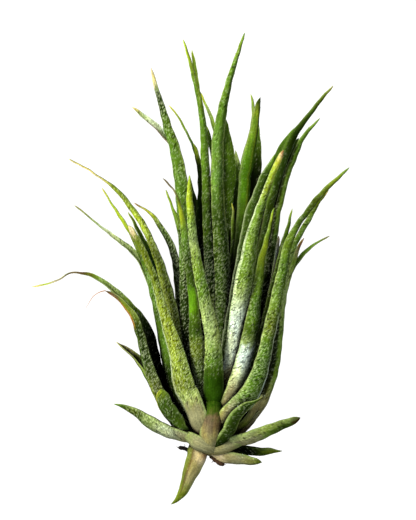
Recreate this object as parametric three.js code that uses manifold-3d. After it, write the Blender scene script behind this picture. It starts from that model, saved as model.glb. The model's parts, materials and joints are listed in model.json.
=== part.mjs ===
// Air plant: a rosette of narrow channelled leaves on a short stem, lying on its back.
// Millimetres, +Y from the stem base towards the crown, +X to the right, +Z up.
// The leaves are laid out round the stem base at (0, 0, 0). At the end the whole plant is moved so
// that the origin is the bottom centre of its box.

import * as THREE from "three";
import { mergeVertices } from "three/addons/utils/BufferGeometryUtils.js";
import Module from "manifold-3d";

const wasm = await Module();
wasm.setup();

// ---------------------------------------------------------------- driving dimensions

const GAP = 0.3; // clearance between neighbouring pieces
const BLADE_MIN = 0.6; // thinnest blade, also the width of a dry thread tip
const BLADE_MAX = 1.1; // thickest blade, at the broad leaf bases
const THICKNESS_TO_WIDTH = 0.2;
const WIDEST_LEAF = 6.2;
const CHANNEL_DEPTH = 0.24; // how deep a leaf is channelled, as a share of its width
const EDGE_BEVEL = 0.12; // the inner face is this much narrower on each side
const RIBS = [-1, -0.4, 0.4, 1]; // where the section has its points, from edge to edge
const RING_SPACING = 6; // from one section to the next along a leaf
const FEWEST_RINGS = 6;
const MOST_RINGS = 17;
const FAN = 0.8; // how much deeper than its base, front to back, the rosette opens at the crown
const FAN_START = 15; // the heights between which it opens
const FAN_END = 100;
const REST_HEIGHT = -20.9; // the surface that the plant lies on
const SURFACE_SIZE = 200; // the block that trims the three low points flat
const SURFACE_DEPTH = 20;

// The stem's outline: height along Y, radius.
const STEM_PROFILE = [
  [-1.6, 2.4],
  [-0.8, 3.8],
  [0.8, 4.4],
  [4, 4.0],
  [8, 3.0],
  [12, 1.9],
  [16, 0.8],
];
const STEM_SIDES = 14;

const ROOT_SIDES = 7;
const ROOT_STEPS = 5;

// ---------------------------------------------------------------- colours

const COLOURS = {
  silverGreen: 0x7f9a55,
  yellowGreen: 0x7e9433,
  brightGreen: 0x5f8f35,
  deepGreen: 0x3f6a2c,
  darkGreen: 0x2c4424,
  oliveGreen: 0x5c6f2c,
  paleGreen: 0x8c9272,
  stemBrown: 0x7d6b48,
  rootBrown: 0x4a3626,
};

// ---------------------------------------------------------------- leaves

// Each leaf has a centreline from its base to its tip, with one row for each point:
// [x, y, z, width as seen from above], where z is its depth before the rosette opens by the
// fan above. The turn is the side that its convex back faces:
// an angle round Y, 0 up to the viewer, 90 to the right and 180 down, and a second angle
// by which it dips towards the base. Leaves come outermost first, and each later one is
// cut clear of those before it, where their bases crowd together.
const LEAVES = [
  // The short old leaves round the base.
  {
    name: "basal_leaf_right_1",
    colour: "deepGreen",
    turn: [30, 10],
    rows: [
      [1.6, 0, 7.6, 2.4], [2.9, 1.9, 9.2, 2.9], [4.3, 3.75, 10.6, 3.2], [5.3, 5.75, 11.9, 3.3],
      [6.5, 8, 12.9, 3.0], [8.75, 10.25, 13.7, 2.2], [11, 11.4, 14.2, 0.9], [13.5, 12.75, 14.6, 0.6],
    ],
  },
  {
    name: "basal_leaf_left_2",
    colour: "oliveGreen",
    turn: [-40, 15],
    rows: [
      [-4.6, 2.2, 4.6, 2.6], [-7.25, 4.75, 7.0, 3.3], [-8.25, 6.5, 8.2, 3.8], [-9.6, 8.5, 9.2, 4.0],
      [-10.9, 10.4, 10, 3.9], [-11.6, 12.5, 10.6, 3.5], [-12, 13.9, 10.9, 2.4], [-12.2, 14.6, 11, 1.0],
    ],
  },
  {
    name: "basal_leaf_right_2",
    colour: "paleGreen",
    turn: [50, 50],
    rows: [
      [3.4, 0.6, 5.8, 2.8], [6.25, 1.5, 7.0, 3.3], [9, 2.2, 7.8, 3.6], [11.5, 3, 8.3, 3.5],
      [13.5, 3.8, 8.5, 3.2], [16, 4.8, 8.6, 2.8], [18.5, 5.8, 8.6, 2.4], [21, 6.8, 8.6, 1.9],
      [22.5, 7.4, 8.6, 1.0],
    ],
  },
  {
    name: "basal_leaf_right_4",
    colour: "paleGreen",
    turn: [25, 55],
    rows: [
      [0.5, -0.7, 4.9, 2.6], [2.1, -1.7, 5.2, 3.0], [4, -2.4, 5.5, 3.2], [6.25, -2.85, 5.8, 3.1],
      [8.75, -3.15, 5.9, 2.6], [10.5, -3.4, 5.9, 2.1], [12, -3.65, 5.9, 1.5], [12.9, -3.8, 5.9, 0.9],
    ],
  },
  {
    name: "basal_leaf_left_1",
    colour: "paleGreen",
    turn: [-50, 50],
    rows: [
      [-3.4, 2.2, 5.6, 2.2], [-6.5, 2.6, 6.3, 2.8], [-10, 3.75, 6.7, 3.2], [-12.5, 4.9, 6.9, 3.3],
      [-15, 6.3, 7, 3.3], [-17.5, 8, 7, 2.4], [-20, 9.5, 7, 1.65], [-22.5, 10.5, 7, 0.8],
      [-24, 10.75, 7, 0.6],
    ],
  },
  {
    name: "basal_leaf_down",
    colour: "yellowGreen",
    turn: [-15, 0],
    rows: [
      [-2.4, 1.2, 4.6, 4.8], [-3, -0.75, 4.6, 5.2], [-3.6, -3.25, 4.2, 4.8], [-4.6, -5.75, 3.6, 4.3],
      [-5.6, -8.25, 3.0, 3.3], [-6.6, -10.75, 2.4, 2.6], [-7.4, -12.25, 2.0, 1.9],
      [-8.4, -13.4, 1.7, 1.1], [-9.75, -14.4, 1.4, 0.6],
    ],
  },
  {
    name: "basal_leaf_right_3",
    colour: "darkGreen",
    turn: [60, 60],
    rows: [
      [4.9, -0.3, 1.6, 2.0], [7.5, -0.6, 2.2, 2.3], [10, -0.9, 2.6, 2.4], [12.5, -1.25, 2.8, 2.2],
      [15, -1, 2.8, 1.7], [16.5, -0.95, 2.8, 0.9], [18.1, -1, 2.8, 0.6],
    ],
  },
  {
    name: "basal_leaf_back",
    colour: "oliveGreen",
    turn: [180, 60],
    rows: [
      [1, 1.6, -4.9, 3.2], [1.5, 2.6, -8.8, 3.7], [2, 4.2, -13, 3.8], [2.4, 6.8, -17, 3.6],
      [2.7, 9.8, -19.8, 3.2], [2.9, 13.2, -20.75, 2.7], [3.1, 16.4, -20.6, 1.9], [3.2, 19, -20, 0.8],
    ],
  },

  // The outer leaves, from the left round the front to the right.
  {
    name: "outer_leaf_left_1",
    colour: "yellowGreen",
    turn: [-35, 0],
    rows: [
      [-1.6, 3.4, 7.4, 3.8], [-2.5, 5.75, 8.6, 4.8], [-3.4, 8.75, 9.6, 5.6], [-4.6, 11.75, 10.2, 6.0],
      [-6.1, 14.5, 10.4, 5.8], [-7, 18, 10.4, 5.1], [-8, 22.5, 10.3, 4.2], [-9.3, 27, 10.1, 3.7],
      [-10.9, 31.75, 9.9, 3.0], [-12.4, 36.75, 9.7, 2.25], [-13.75, 41.75, 9.5, 1.9],
      [-15.4, 46, 9.4, 1.8], [-17.2, 50, 9.4, 1.8], [-18.9, 53, 9.4, 1.6], [-20.2, 55.3, 9.4, 1.1],
    ],
  },
  {
    name: "outer_leaf_front_1",
    colour: "silverGreen",
    turn: [-5, 0],
    rows: [
      [0.5, 3, 5.8, 4.6], [0.75, 6, 7.4, 5.2], [0.8, 9.5, 8.7, 5.4], [0.9, 14.25, 10.2, 5.2],
      [0.9, 20, 11.6, 4.8], [0.7, 26.75, 12.8, 3.9], [-0.2, 31.75, 13.4, 3.6],
      [-1.3, 36.75, 13.9, 3.1], [-2.6, 43, 14.3, 2.8], [-3.9, 50, 14.7, 2.3], [-4.7, 57, 15.1, 2.0],
      [-5.1, 62.5, 15.5, 1.5], [-5.1, 66, 15.8, 0.9], [-5, 67.75, 16, 0.6],
    ],
  },
  {
    name: "outer_leaf_front_5",
    colour: "deepGreen",
    turn: [40, 0],
    rows: [
      [1.4, 3.6, 7.4, 3.6], [3.2, 6.4, 9.0, 4.6], [6, 9.4, 10.3, 5.0], [8.8, 12, 11.2, 5.2],
      [11.2, 15.5, 11.7, 5.0], [13, 20, 11.9, 4.5], [14.2, 25, 11.8, 4.0], [15.2, 30, 11.5, 3.7],
      [16.3, 36, 11.1, 3.0], [17.4, 41, 10.7, 2.8], [18.3, 45.5, 10.4, 2.4], [19.4, 50.5, 10.1, 2.2],
      [21.3, 54.7, 9.9, 1.6], [23.7, 58, 9.8, 1.4], [26.2, 61.4, 9.7, 1.5], [29, 64.5, 9.6, 1.3],
      [32.3, 67.6, 9.5, 0.9], [34.75, 69.75, 9.5, 0.6],
    ],
  },
  {
    name: "outer_leaf_left_2",
    colour: "oliveGreen",
    turn: [-55, 10],
    rows: [
      [-4.9, 3.4, 3.0, 3.0], [-9.5, 8.75, 5.0, 3.2], [-12.4, 13, 5.8, 3.2], [-14.6, 18, 6.2, 2.9],
      [-16.2, 23.5, 6.4, 2.5], [-17.4, 28, 6.5, 2.3], [-18.6, 32, 6.5, 2.1], [-20.4, 34.6, 6.4, 1.5],
      [-22.2, 36.5, 6.3, 1.2], [-24.3, 38.3, 6.2, 0.95], [-26.1, 39, 6.2, 0.6],
    ],
  },
  {
    name: "outer_leaf_right_1",
    colour: "oliveGreen",
    turn: [60, 0],
    rows: [
      [4.2, 3, 1.8, 2.6], [8.6, 6.4, 3.0, 3.0], [11.75, 9.25, 3.6, 2.8], [14.4, 14, 4.0, 2.4],
      [16, 19.25, 4.2, 2.3], [16.9, 25, 4.2, 2.3], [17.4, 31, 4.2, 2.2], [18.1, 37, 4.2, 2.1],
      [19.1, 41.75, 4.2, 2.0], [20.6, 46, 4.2, 1.6], [22.2, 50, 4.2, 0.9], [22.9, 51.4, 4.2, 0.75],
      [23.5, 52.25, 4.2, 0.6],
    ],
  },
  {
    name: "outer_leaf_front_4",
    colour: "brightGreen",
    turn: [30, 0],
    rows: [
      [2.6, 5, 6.6, 3.8], [4.3, 10, 8.7, 4.2], [6.2, 15, 10, 4.2], [8.2, 21, 10.8, 4.1],
      [9.7, 26.75, 11, 4.1], [10.6, 31.75, 10.9, 3.7], [11.3, 36.75, 10.7, 2.9],
      [12.1, 41.75, 10.4, 2.4], [12.9, 46.9, 10.1, 1.8], [13.5, 49.5, 9.9, 1.5], [14.1, 52, 9.8, 1.2],
      [14.9, 55, 9.7, 0.9], [15.9, 59.75, 9.6, 0.6],
    ],
  },
  {
    name: "outer_leaf_left_3",
    colour: "darkGreen",
    turn: [-115, 10],
    rows: [
      [-4.9, 5, 0.6, 3.0], [-9.5, 11.25, 1.6, 3.3], [-12, 15.5, 2.1, 3.4], [-13.5, 19.25, 2.4, 3.4],
      [-14.3, 23, 2.6, 3.3], [-15, 27, 2.7, 3.0], [-16.6, 30.8, 2.7, 2.5], [-19.25, 34.5, 2.7, 2.0],
      [-21.25, 36.75, 2.7, 1.7], [-23.75, 39.1, 2.7, 1.5], [-26.25, 41, 2.7, 1.25],
      [-28.75, 42.6, 2.7, 1.1], [-30.75, 43.3, 2.7, 0.9], [-32.5, 43.5, 2.7, 0.7],
      [-34.5, 43.6, 2.7, 0.6], [-36, 43, 2.7, 0.6], [-37.5, 42, 2.7, 0.6], [-40, 41, 2.7, 0.6],
      [-44.5, 40, 2.7, 0.6],
    ],
  },
  {
    name: "outer_leaf_front_3",
    colour: "silverGreen",
    turn: [15, 0],
    rows: [
      [2.4, 8, 4.6, 3.6], [3.6, 13, 7.0, 4.0], [5, 19, 8.6, 4.3], [6, 25.5, 9.8, 4.4],
      [6.8, 31.75, 10.9, 4.3], [7.6, 36.75, 11.7, 4.3], [8.4, 41.75, 12.3, 4.4],
      [9.4, 46.75, 12.8, 3.9], [10.25, 51.75, 13.2, 3.3], [11.5, 56.75, 13.6, 2.5],
      [13.2, 61.75, 13.9, 1.95], [15, 66.75, 14.2, 1.65], [17.1, 71.75, 14.6, 1.4],
      [18.25, 74, 14.8, 0.7],
    ],
  },
  {
    name: "outer_leaf_front_2",
    colour: "brightGreen",
    turn: [-20, 0],
    rows: [
      [-1.2, 5.5, 5.3, 3.4], [-1.8, 11, 7.0, 3.7], [-2.4, 17, 8.4, 3.8], [-2.9, 21.75, 9.3, 3.8],
      [-3.4, 26.75, 10, 3.6], [-3.8, 31.75, 10.5, 2.9], [-4.2, 37, 10.9, 2.3], [-4.9, 42, 11.2, 2.0],
      [-5.6, 47, 11.4, 2.0], [-6.2, 52, 11.6, 2.0], [-6.8, 56.75, 11.8, 1.4], [-7.6, 60.5, 11.9, 0.9],
      [-8.75, 63.75, 12, 0.6], [-10.3, 65.7, 12, 0.6], [-11.75, 67, 12, 0.6],
    ],
  },
  {
    name: "outer_leaf_left_5",
    colour: "yellowGreen",
    turn: [-55, 0],
    rows: [
      [-3, 6, 2.6, 3.0], [-5.2, 14, 4.2, 3.2], [-7, 22, 5.0, 3.1], [-8.2, 29, 5.4, 2.8],
      [-9.3, 34.5, 5.6, 2.6], [-11, 40.5, 5.7, 2.7], [-12.9, 46.75, 5.7, 2.2], [-14.8, 51.5, 5.7, 1.8],
      [-16.4, 54.8, 5.7, 1.75], [-18.75, 58.6, 5.7, 1.5], [-21.25, 61.9, 5.7, 1.3],
      [-23.75, 64.6, 5.7, 1.05], [-26.25, 66.6, 5.7, 0.7], [-30.75, 69.5, 5.7, 0.6],
      [-35.25, 72, 5.7, 0.6],
    ],
  },
  {
    name: "outer_leaf_left_6",
    colour: "brightGreen",
    turn: [-60, 0],
    rows: [
      [-3.6, 4.6, 1.2, 3.4], [-6.8, 11, 2.4, 3.6], [-9.2, 16, 2.8, 3.3], [-10.6, 21, 2.9, 3.0],
      [-11.6, 26.75, 2.9, 2.7], [-12.6, 31.75, 2.8, 2.4], [-13.6, 37, 2.8, 2.2],
      [-14.9, 42, 2.7, 2.0], [-16.4, 46.5, 2.7, 1.9], [-18.2, 50.5, 2.7, 1.5],
      [-20.4, 54.4, 2.7, 1.05], [-22.5, 57.75, 2.7, 0.9], [-25, 61.4, 2.7, 0.65],
      [-27, 64.75, 2.7, 0.6],
    ],
  },
  {
    name: "outer_leaf_left_4",
    colour: "darkGreen",
    turn: [-115, 20],
    rows: [
      [-4.6, 3, -1.6, 3.0], [-9.5, 8, -2.8, 3.2], [-12.5, 13, -3.2, 3.0], [-14.5, 17, -3.3, 2.9],
      [-16, 19.5, -3.3, 2.7], [-17.5, 21.4, -3.3, 2.3], [-18.75, 22.6, -3.2, 1.7],
      [-20, 23.7, -3.1, 1.45], [-21.25, 24.6, -3, 1.15], [-22.5, 25.5, -3, 0.7],
      [-23.4, 26.25, -3, 0.6],
    ],
  },
  {
    name: "outer_leaf_right_3",
    colour: "deepGreen",
    turn: [50, 0],
    rows: [
      [3.2, 5, 5.0, 2.4], [8.6, 12, 7.0, 2.6], [12.4, 20, 7.6, 2.4], [15, 28, 7.7, 2.2],
      [16.9, 35, 7.7, 2.1], [18.5, 42, 7.7, 1.9], [19.8, 47.5, 7.7, 1.6], [21.3, 51, 7.7, 1.45],
      [22.7, 53.6, 7.7, 1.4], [24.4, 56.6, 7.7, 1.35], [25.9, 59.3, 7.7, 1.2], [27.6, 61.9, 7.7, 0.95],
      [29.5, 64, 7.7, 0.6],
    ],
  },
  {
    name: "outer_leaf_right_2",
    colour: "darkGreen",
    turn: [115, 0],
    rows: [
      [4.8, 2.8, -1.2, 2.6], [9.2, 6, -1.5, 2.8], [11.6, 11, -1.7, 2.6], [13.6, 17, -1.8, 2.4],
      [15.8, 25, -1.9, 2.2], [17.2, 32.5, -1.9, 2.0], [18.6, 39, -1.9, 1.7], [20.2, 43.8, -1.9, 1.4],
      [21.8, 46.4, -1.9, 1.2], [23.5, 48.4, -1.9, 1.05], [25.4, 50.1, -1.9, 0.85],
      [27.6, 51.5, -1.9, 0.65], [30, 52.75, -1.9, 0.6],
    ],
  },
  {
    name: "outer_leaf_left_7",
    colour: "brightGreen",
    turn: [-125, 0],
    rows: [
      [-3.6, 5.5, -3.0, 2.8], [-8, 15.5, -3.8, 2.8], [-11, 25, -4.0, 2.6], [-12.9, 34, -4.1, 2.4],
      [-14.6, 40.5, -4.1, 2.2], [-16.6, 45.3, -4.1, 1.9], [-18.4, 48, -4.1, 1.6],
      [-20.6, 50, -4.1, 1.35], [-23, 51.8, -4.1, 1.1], [-25.4, 53.6, -4.1, 0.9],
      [-27.5, 55.25, -4.1, 0.7], [-30.7, 57.8, -4.1, 0.6], [-34, 60.5, -4.1, 0.6],
    ],
  },

  // The back leaves, which the plant lies on. The first two carry it on their low bends.
  {
    name: "back_leaf_1",
    colour: "deepGreen",
    turn: [180, 0],
    rows: [
      [-3.6, 5, -4.6, 3.6], [-6.2, 12, -8, 4.2], [-8.2, 20, -11.4, 4.0], [-9.9, 28, -14.1, 3.7],
      [-11.4, 35, -16.0, 3.3], [-12.8, 41, -16.9, 3.0], [-14.1, 46, -16.7, 2.6],
      [-15, 49.6, -15.9, 1.5], [-15.5, 52, -15.3, 0.6],
    ],
  },
  {
    name: "back_leaf_2",
    colour: "deepGreen",
    turn: [180, 0],
    rows: [
      [4.4, 5, -4.8, 3.6], [7.4, 12, -8.2, 4.2], [10, 20, -11.6, 4.0], [12.4, 28, -14.2, 3.7],
      [14.6, 35, -16.0, 3.3], [16.2, 41, -16.9, 3.0], [17.4, 46, -16.7, 2.6],
      [18.2, 50, -15.9, 1.5], [18.7, 53, -15.2, 0.6],
    ],
  },
  {
    name: "back_leaf_3",
    colour: "silverGreen",
    turn: [180, 0],
    rows: [
      [1, 4.5, -5.6, 4.0], [2, 12, -9, 4.6], [3, 22, -11.6, 4.4], [4.2, 33, -13.3, 3.9],
      [5.6, 44, -13.9, 3.2], [7.2, 54, -13.6, 2.4], [8.6, 60, -13, 1.4], [9, 62, -12.8, 0.6],
    ],
  },
  {
    name: "back_leaf_4",
    colour: "brightGreen",
    turn: [-160, 0],
    rows: [
      [-1.6, 4, -5.2, 3.8], [-3, 11, -8.6, 4.4], [-4, 20, -11, 4.2], [-4.6, 31, -12.8, 3.7],
      [-5, 42, -13.5, 3.0], [-5, 52, -13.4, 2.2], [-5, 58, -12.9, 1.2], [-5, 60.5, -12.7, 0.6],
    ],
  },

  // The middle leaves.
  {
    name: "middle_leaf_right_5",
    colour: "deepGreen",
    turn: [55, 0],
    rows: [
      [2.8, 8, 0.8, 2.6], [6.6, 18.5, 1.6, 2.9], [10.6, 27.5, 2, 2.8], [12.8, 34, 2.1, 2.5],
      [14.3, 40.5, 2.2, 2.1], [15.3, 47, 2.2, 1.9], [16.1, 53, 2.2, 1.8], [16.8, 58, 2.2, 1.8],
      [17.8, 62.5, 2.2, 1.7], [19.1, 67.3, 2.2, 1.6], [20.5, 71.2, 2.2, 1.6],
      [21.8, 74.4, 2.2, 1.45], [23.1, 77, 2.2, 1.2], [24.7, 79.3, 2.2, 0.95], [26.1, 80.7, 2.2, 0.75],
      [27.5, 82.2, 2.2, 0.6],
    ],
  },
  {
    name: "middle_leaf_right_4",
    colour: "darkGreen",
    turn: [50, 0],
    rows: [
      [2.4, 9.5, 2.6, 2.8], [5.2, 20, 4.2, 3.1], [8, 31, 5.2, 3.1], [10.6, 40.5, 5.8, 2.8],
      [12.6, 48.5, 6, 2.4], [13.9, 54.5, 6, 2.2], [14.8, 59.5, 6, 2.0], [15.6, 63, 6, 2.0],
      [16.9, 67.5, 6, 2.2], [18.7, 73.2, 5.9, 2.4], [20.3, 76.5, 5.8, 2.1], [21.8, 79.25, 5.7, 1.7],
      [23.9, 81.9, 5.6, 1.3], [26, 84.6, 5.5, 1.1], [28.2, 87.4, 5.4, 0.9], [30.75, 90.25, 5.4, 0.6],
    ],
  },
  {
    name: "middle_leaf_right_2",
    colour: "deepGreen",
    turn: [45, 0],
    rows: [
      [3, 6, 3.4, 2.2], [7.6, 14.5, 4.8, 2.4], [11.4, 22.5, 5.2, 2.3], [14, 32, 5.3, 2.1],
      [16, 41, 5.3, 1.7], [17.6, 47.5, 5.3, 1.4], [18.9, 53, 5.3, 1.1], [19.6, 55.6, 5.3, 0.9],
      [20.2, 58, 5.3, 0.7], [20.5, 59.5, 5.3, 0.6],
    ],
  },
  {
    name: "middle_leaf_right_6",
    colour: "paleGreen",
    turn: [50, 0],
    rows: [
      [7.6, 15, 3.7, 1.8], [11.6, 24, 3.9, 1.8], [14.3, 33, 4, 1.6], [15.6, 41, 4, 1.3],
      [16.3, 46, 4, 1.1], [16.8, 49.5, 4, 1.0], [17.1, 52.75, 4, 0.8],
    ],
  },
  {
    name: "middle_leaf_left_2",
    colour: "darkGreen",
    turn: [-30, 0],
    rows: [
      [-2.2, 7.5, 3.8, 3.0], [-3.6, 15, 5.8, 3.0], [-4.8, 22, 7.0, 3.0], [-5.6, 28, 7.7, 2.9],
      [-6.1, 34, 8.1, 2.7], [-6.4, 41.75, 8.4, 2.4], [-6.6, 47, 8.6, 2.1], [-7.1, 52.5, 8.7, 1.7],
      [-8.2, 56.75, 8.8, 1.3], [-9.2, 59.4, 8.8, 0.8], [-10.1, 61.75, 8.8, 0.7],
      [-11, 64.25, 8.8, 0.6],
    ],
  },
  {
    name: "middle_leaf_left_3",
    colour: "darkGreen",
    turn: [-50, 0],
    rows: [
      [-2.2, 9, 1.6, 2.4], [-4.6, 18, 1.9, 2.6], [-6.4, 27, 2, 2.5], [-7.4, 35, 2, 2.2],
      [-8.1, 42.5, 2, 2.0], [-8.7, 47, 2, 1.95], [-9.8, 50.6, 2, 1.75], [-11.3, 53.4, 2, 1.5],
      [-13, 56, 2, 1.25], [-14.7, 58.2, 2, 0.9], [-16.5, 59.6, 2, 0.65], [-19, 61, 2, 0.6],
    ],
  },
  {
    name: "middle_leaf_left_4",
    colour: "darkGreen",
    turn: [-120, 0],
    rows: [
      [-2.8, 8, -0.4, 2.2], [-6.4, 18, -0.6, 2.4], [-9.8, 31, -0.6, 2.0], [-12.2, 40, -0.6, 1.6],
      [-14.2, 46, -0.6, 1.4], [-15.7, 49.6, -0.6, 1.25], [-17.4, 53, -0.6, 1.1],
      [-19.4, 56.9, -0.6, 0.75], [-20.5, 58.75, -0.6, 0.6],
    ],
  },
  {
    name: "middle_leaf_right_1",
    colour: "deepGreen",
    turn: [30, 0],
    rows: [
      [1.8, 11, 3.8, 2.6], [3.4, 21, 5.6, 3.0], [5.2, 31, 7.0, 3.1], [7, 41.75, 8.2, 3.0],
      [8.6, 51, 8.9, 2.8], [10.1, 58.75, 9.2, 2.7], [11.5, 62, 9.3, 2.5], [13, 66.5, 9.4, 2.1],
      [14.6, 69.6, 9.4, 1.7], [15.6, 71.6, 9.4, 1.1], [16.25, 73, 9.4, 0.6],
    ],
  },
  {
    name: "middle_leaf_right_3",
    colour: "darkGreen",
    turn: [125, 0],
    rows: [
      [2.2, 10, -0.6, 2.2], [5.4, 27, -1.4, 2.6], [8.6, 42, -1.8, 2.6], [11.4, 54.5, -2, 2.4],
      [13.8, 63.5, -2, 2.1], [15.6, 69.4, -2, 1.8], [16.8, 72.8, -2, 1.6], [18, 75.3, -2, 1.2],
      [19.6, 77.7, -2, 0.9], [21.5, 80, -2, 0.6],
    ],
  },
  {
    name: "back_leaf_5",
    colour: "brightGreen",
    turn: [150, 0],
    rows: [
      [2.8, 8, -6.2, 3.2], [5.2, 18, -8.6, 3.6], [7.8, 30, -10.2, 3.4], [10, 42, -11, 3.0],
      [12, 53, -11.2, 2.4], [13.6, 60.5, -11, 1.3], [14, 63, -10.9, 0.6],
    ],
  },
  {
    name: "back_leaf_6",
    colour: "silverGreen",
    turn: [-160, 0],
    rows: [
      [-1.6, 8, -5.6, 3.0], [-2.6, 18, -8, 3.4], [-3.4, 30, -9.6, 3.2], [-3.8, 42, -10.3, 3.0],
      [-3.8, 53, -10.5, 2.8], [-4, 60, -10.4, 2.2], [-4.6, 63.5, -10.3, 1.5], [-5, 66, -10.2, 1.0],
      [-5.2, 68, -10.2, 0.6],
    ],
  },
  {
    name: "back_leaf_9",
    colour: "deepGreen",
    turn: [-140, 0],
    rows: [
      [-3.4, 8, -4.4, 2.8], [-6.6, 18, -6.8, 3.2], [-8.8, 29, -8.2, 3.0], [-10.6, 38, -8.8, 2.6],
      [-12.4, 45, -9, 2.0], [-13.6, 49.5, -9, 1.1], [-14, 51.5, -9, 0.6],
    ],
  },
  {
    name: "back_leaf_10",
    colour: "deepGreen",
    turn: [140, 0],
    rows: [
      [4.6, 6, -3.8, 2.6], [8, 14, -6, 2.8], [11.4, 23, -7.6, 2.8], [14, 32, -8.4, 2.6],
      [16.2, 40.5, -8.6, 2.2], [18, 47, -8.6, 1.5], [18.9, 51, -8.6, 0.6],
    ],
  },
  {
    name: "middle_leaf_left_1",
    colour: "deepGreen",
    turn: [-35, 0],
    rows: [
      [-1.2, 11, 2.4, 2.8], [-2.6, 22, 4.4, 3.1], [-4.2, 34, 5.4, 3.2], [-5.6, 46, 5.8, 3.1],
      [-6.6, 57, 5.8, 3.1], [-7.1, 64.5, 5.7, 3.3], [-7.7, 69.5, 5.6, 3.2], [-8.8, 74.5, 5.4, 2.7],
      [-10.4, 79.5, 5.2, 2.25], [-11.65, 83.7, 5.0, 1.75], [-12.9, 88, 4.8, 1.25],
      [-13.8, 91.2, 4.7, 1.0], [-14.75, 94.75, 4.6, 0.6],
    ],
  },
  {
    name: "middle_leaf_left_5",
    colour: "silverGreen",
    turn: [-140, 0],
    rows: [
      [-1.2, 12, -1.6, 2.2], [-3.4, 28, -3.4, 2.6], [-5.2, 44, -4.4, 2.5], [-6.6, 57, -4.8, 2.2],
      [-7.5, 67, -5, 1.8], [-8.4, 73, -5, 1.7], [-9.8, 76.2, -5, 1.7], [-11.4, 78.2, -5, 1.6],
      [-13.3, 80.2, -5, 1.5], [-15.4, 82, -5, 1.35], [-17.5, 83.6, -5, 1.0], [-19.5, 85.25, -5, 0.6],
    ],
  },
  {
    name: "back_leaf_7",
    colour: "deepGreen",
    turn: [180, 0],
    rows: [
      [0.8, 10, -5.6, 3.0], [2.2, 22, -8.2, 3.3], [3.2, 36, -9.6, 3.2], [4, 50, -10.2, 2.8],
      [4.4, 62, -10.3, 2.2], [4.5, 71, -10.2, 1.5], [4.5, 76.5, -10.1, 0.6],
    ],
  },
  {
    name: "back_leaf_8",
    colour: "deepGreen",
    turn: [160, 0],
    rows: [
      [2.4, 12, -5.0, 2.6], [6.8, 25, -7.2, 3.0], [11, 40, -8.4, 2.9], [14.4, 52, -8.6, 2.7],
      [16.4, 60.5, -8.6, 2.6], [18.1, 67, -8.6, 2.4], [20, 72.5, -8.5, 2.1], [21.3, 75.6, -8.4, 1.4],
      [22.3, 77.5, -8.4, 0.6],
    ],
  },

  // The inner leaves, which stand up in the crown.
  {
    name: "inner_leaf_1",
    colour: "brightGreen",
    turn: [10, 0],
    rows: [
      [1.2, 12, 3.2, 3.0], [2.4, 22, 5.2, 3.4], [3, 31.75, 6.6, 3.7], [3.25, 38, 7.2, 4.0],
      [3.1, 44, 7.5, 4.1], [2.7, 50.5, 7.6, 3.9], [2.2, 57, 7.5, 3.5], [1.85, 63.5, 7.4, 3.25],
      [1.8, 70, 7.2, 3.1], [2, 76.75, 6.9, 3.0], [2.7, 81.75, 6.6, 2.6], [3.5, 86, 6.3, 2.2],
      [4.6, 90.7, 6, 1.7], [5.9, 95, 5.7, 1.35], [7.3, 99.4, 5.4, 0.95], [8.75, 103.5, 5.2, 0.6],
    ],
  },
  {
    name: "inner_leaf_2",
    colour: "deepGreen",
    turn: [-20, 0],
    rows: [
      [-0.7, 11, 3.4, 2.6], [-0.2, 22, 5.2, 2.9], [0.1, 34, 6.4, 2.8], [0, 41.75, 6.9, 2.6],
      [-0.4, 49, 7.1, 2.3], [-0.8, 58, 7.1, 2.15], [-1, 66.75, 7, 2.05], [-1.3, 73.5, 6.8, 2.1],
      [-1.7, 80.5, 6.6, 1.7], [-2.3, 84.5, 6.4, 1.5], [-3.2, 89.25, 6.2, 1.3], [-4.3, 93.3, 6, 1.0],
      [-5.4, 97.8, 5.8, 0.8], [-6.75, 101.75, 5.6, 0.6],
    ],
  },
  {
    name: "inner_leaf_3",
    colour: "brightGreen",
    turn: [45, 0],
    rows: [
      [1.8, 15, 1.2, 2.2], [4, 28, 2.4, 2.6], [6.2, 42, 3.2, 2.7], [7.5, 52, 3.6, 2.7],
      [8.2, 60, 3.8, 3.0], [8.7, 67, 3.8, 3.0], [9.35, 71.75, 3.8, 3.2], [10.1, 75, 3.7, 2.7],
      [10.9, 78.5, 3.6, 2.25], [11.3, 81.75, 3.5, 1.9], [11.75, 84.25, 3.4, 1.6],
      [12.2, 86, 3.4, 1.1], [12.6, 87.4, 3.4, 0.6],
    ],
  },
  {
    name: "inner_leaf_4",
    colour: "darkGreen",
    turn: [140, 0],
    rows: [
      [1.8, 12, -2.6, 2.2], [5, 28, -4.2, 2.6], [8, 44, -5, 2.8], [10, 57, -5.2, 2.8],
      [11.2, 66, -5.2, 2.6], [11.8, 71, -5.1, 2.4], [11.9, 75.5, -5, 1.9], [11.9, 79.5, -4.9, 1.2],
      [11.7, 82, -4.8, 0.8], [11.5, 83.5, -4.7, 0.6],
    ],
  },
  {
    name: "inner_leaf_5",
    colour: "darkGreen",
    turn: [170, 0],
    rows: [
      [0.9, 12, -3.4, 2.6], [2.4, 28, -5.6, 3.0], [3.7, 42, -6.6, 3.4], [4.6, 54, -7, 3.8],
      [5.1, 63, -7, 3.9], [5.1, 69.25, -6.9, 3.8], [4.9, 72, -6.8, 3.4], [4.6, 74.5, -6.8, 2.8],
      [4.4, 77, -6.7, 2.1], [4.2, 79.5, -6.6, 1.3], [4, 82.25, -6.6, 0.6],
    ],
  },
  {
    name: "inner_leaf_6",
    colour: "deepGreen",
    turn: [-165, 0],
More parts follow.
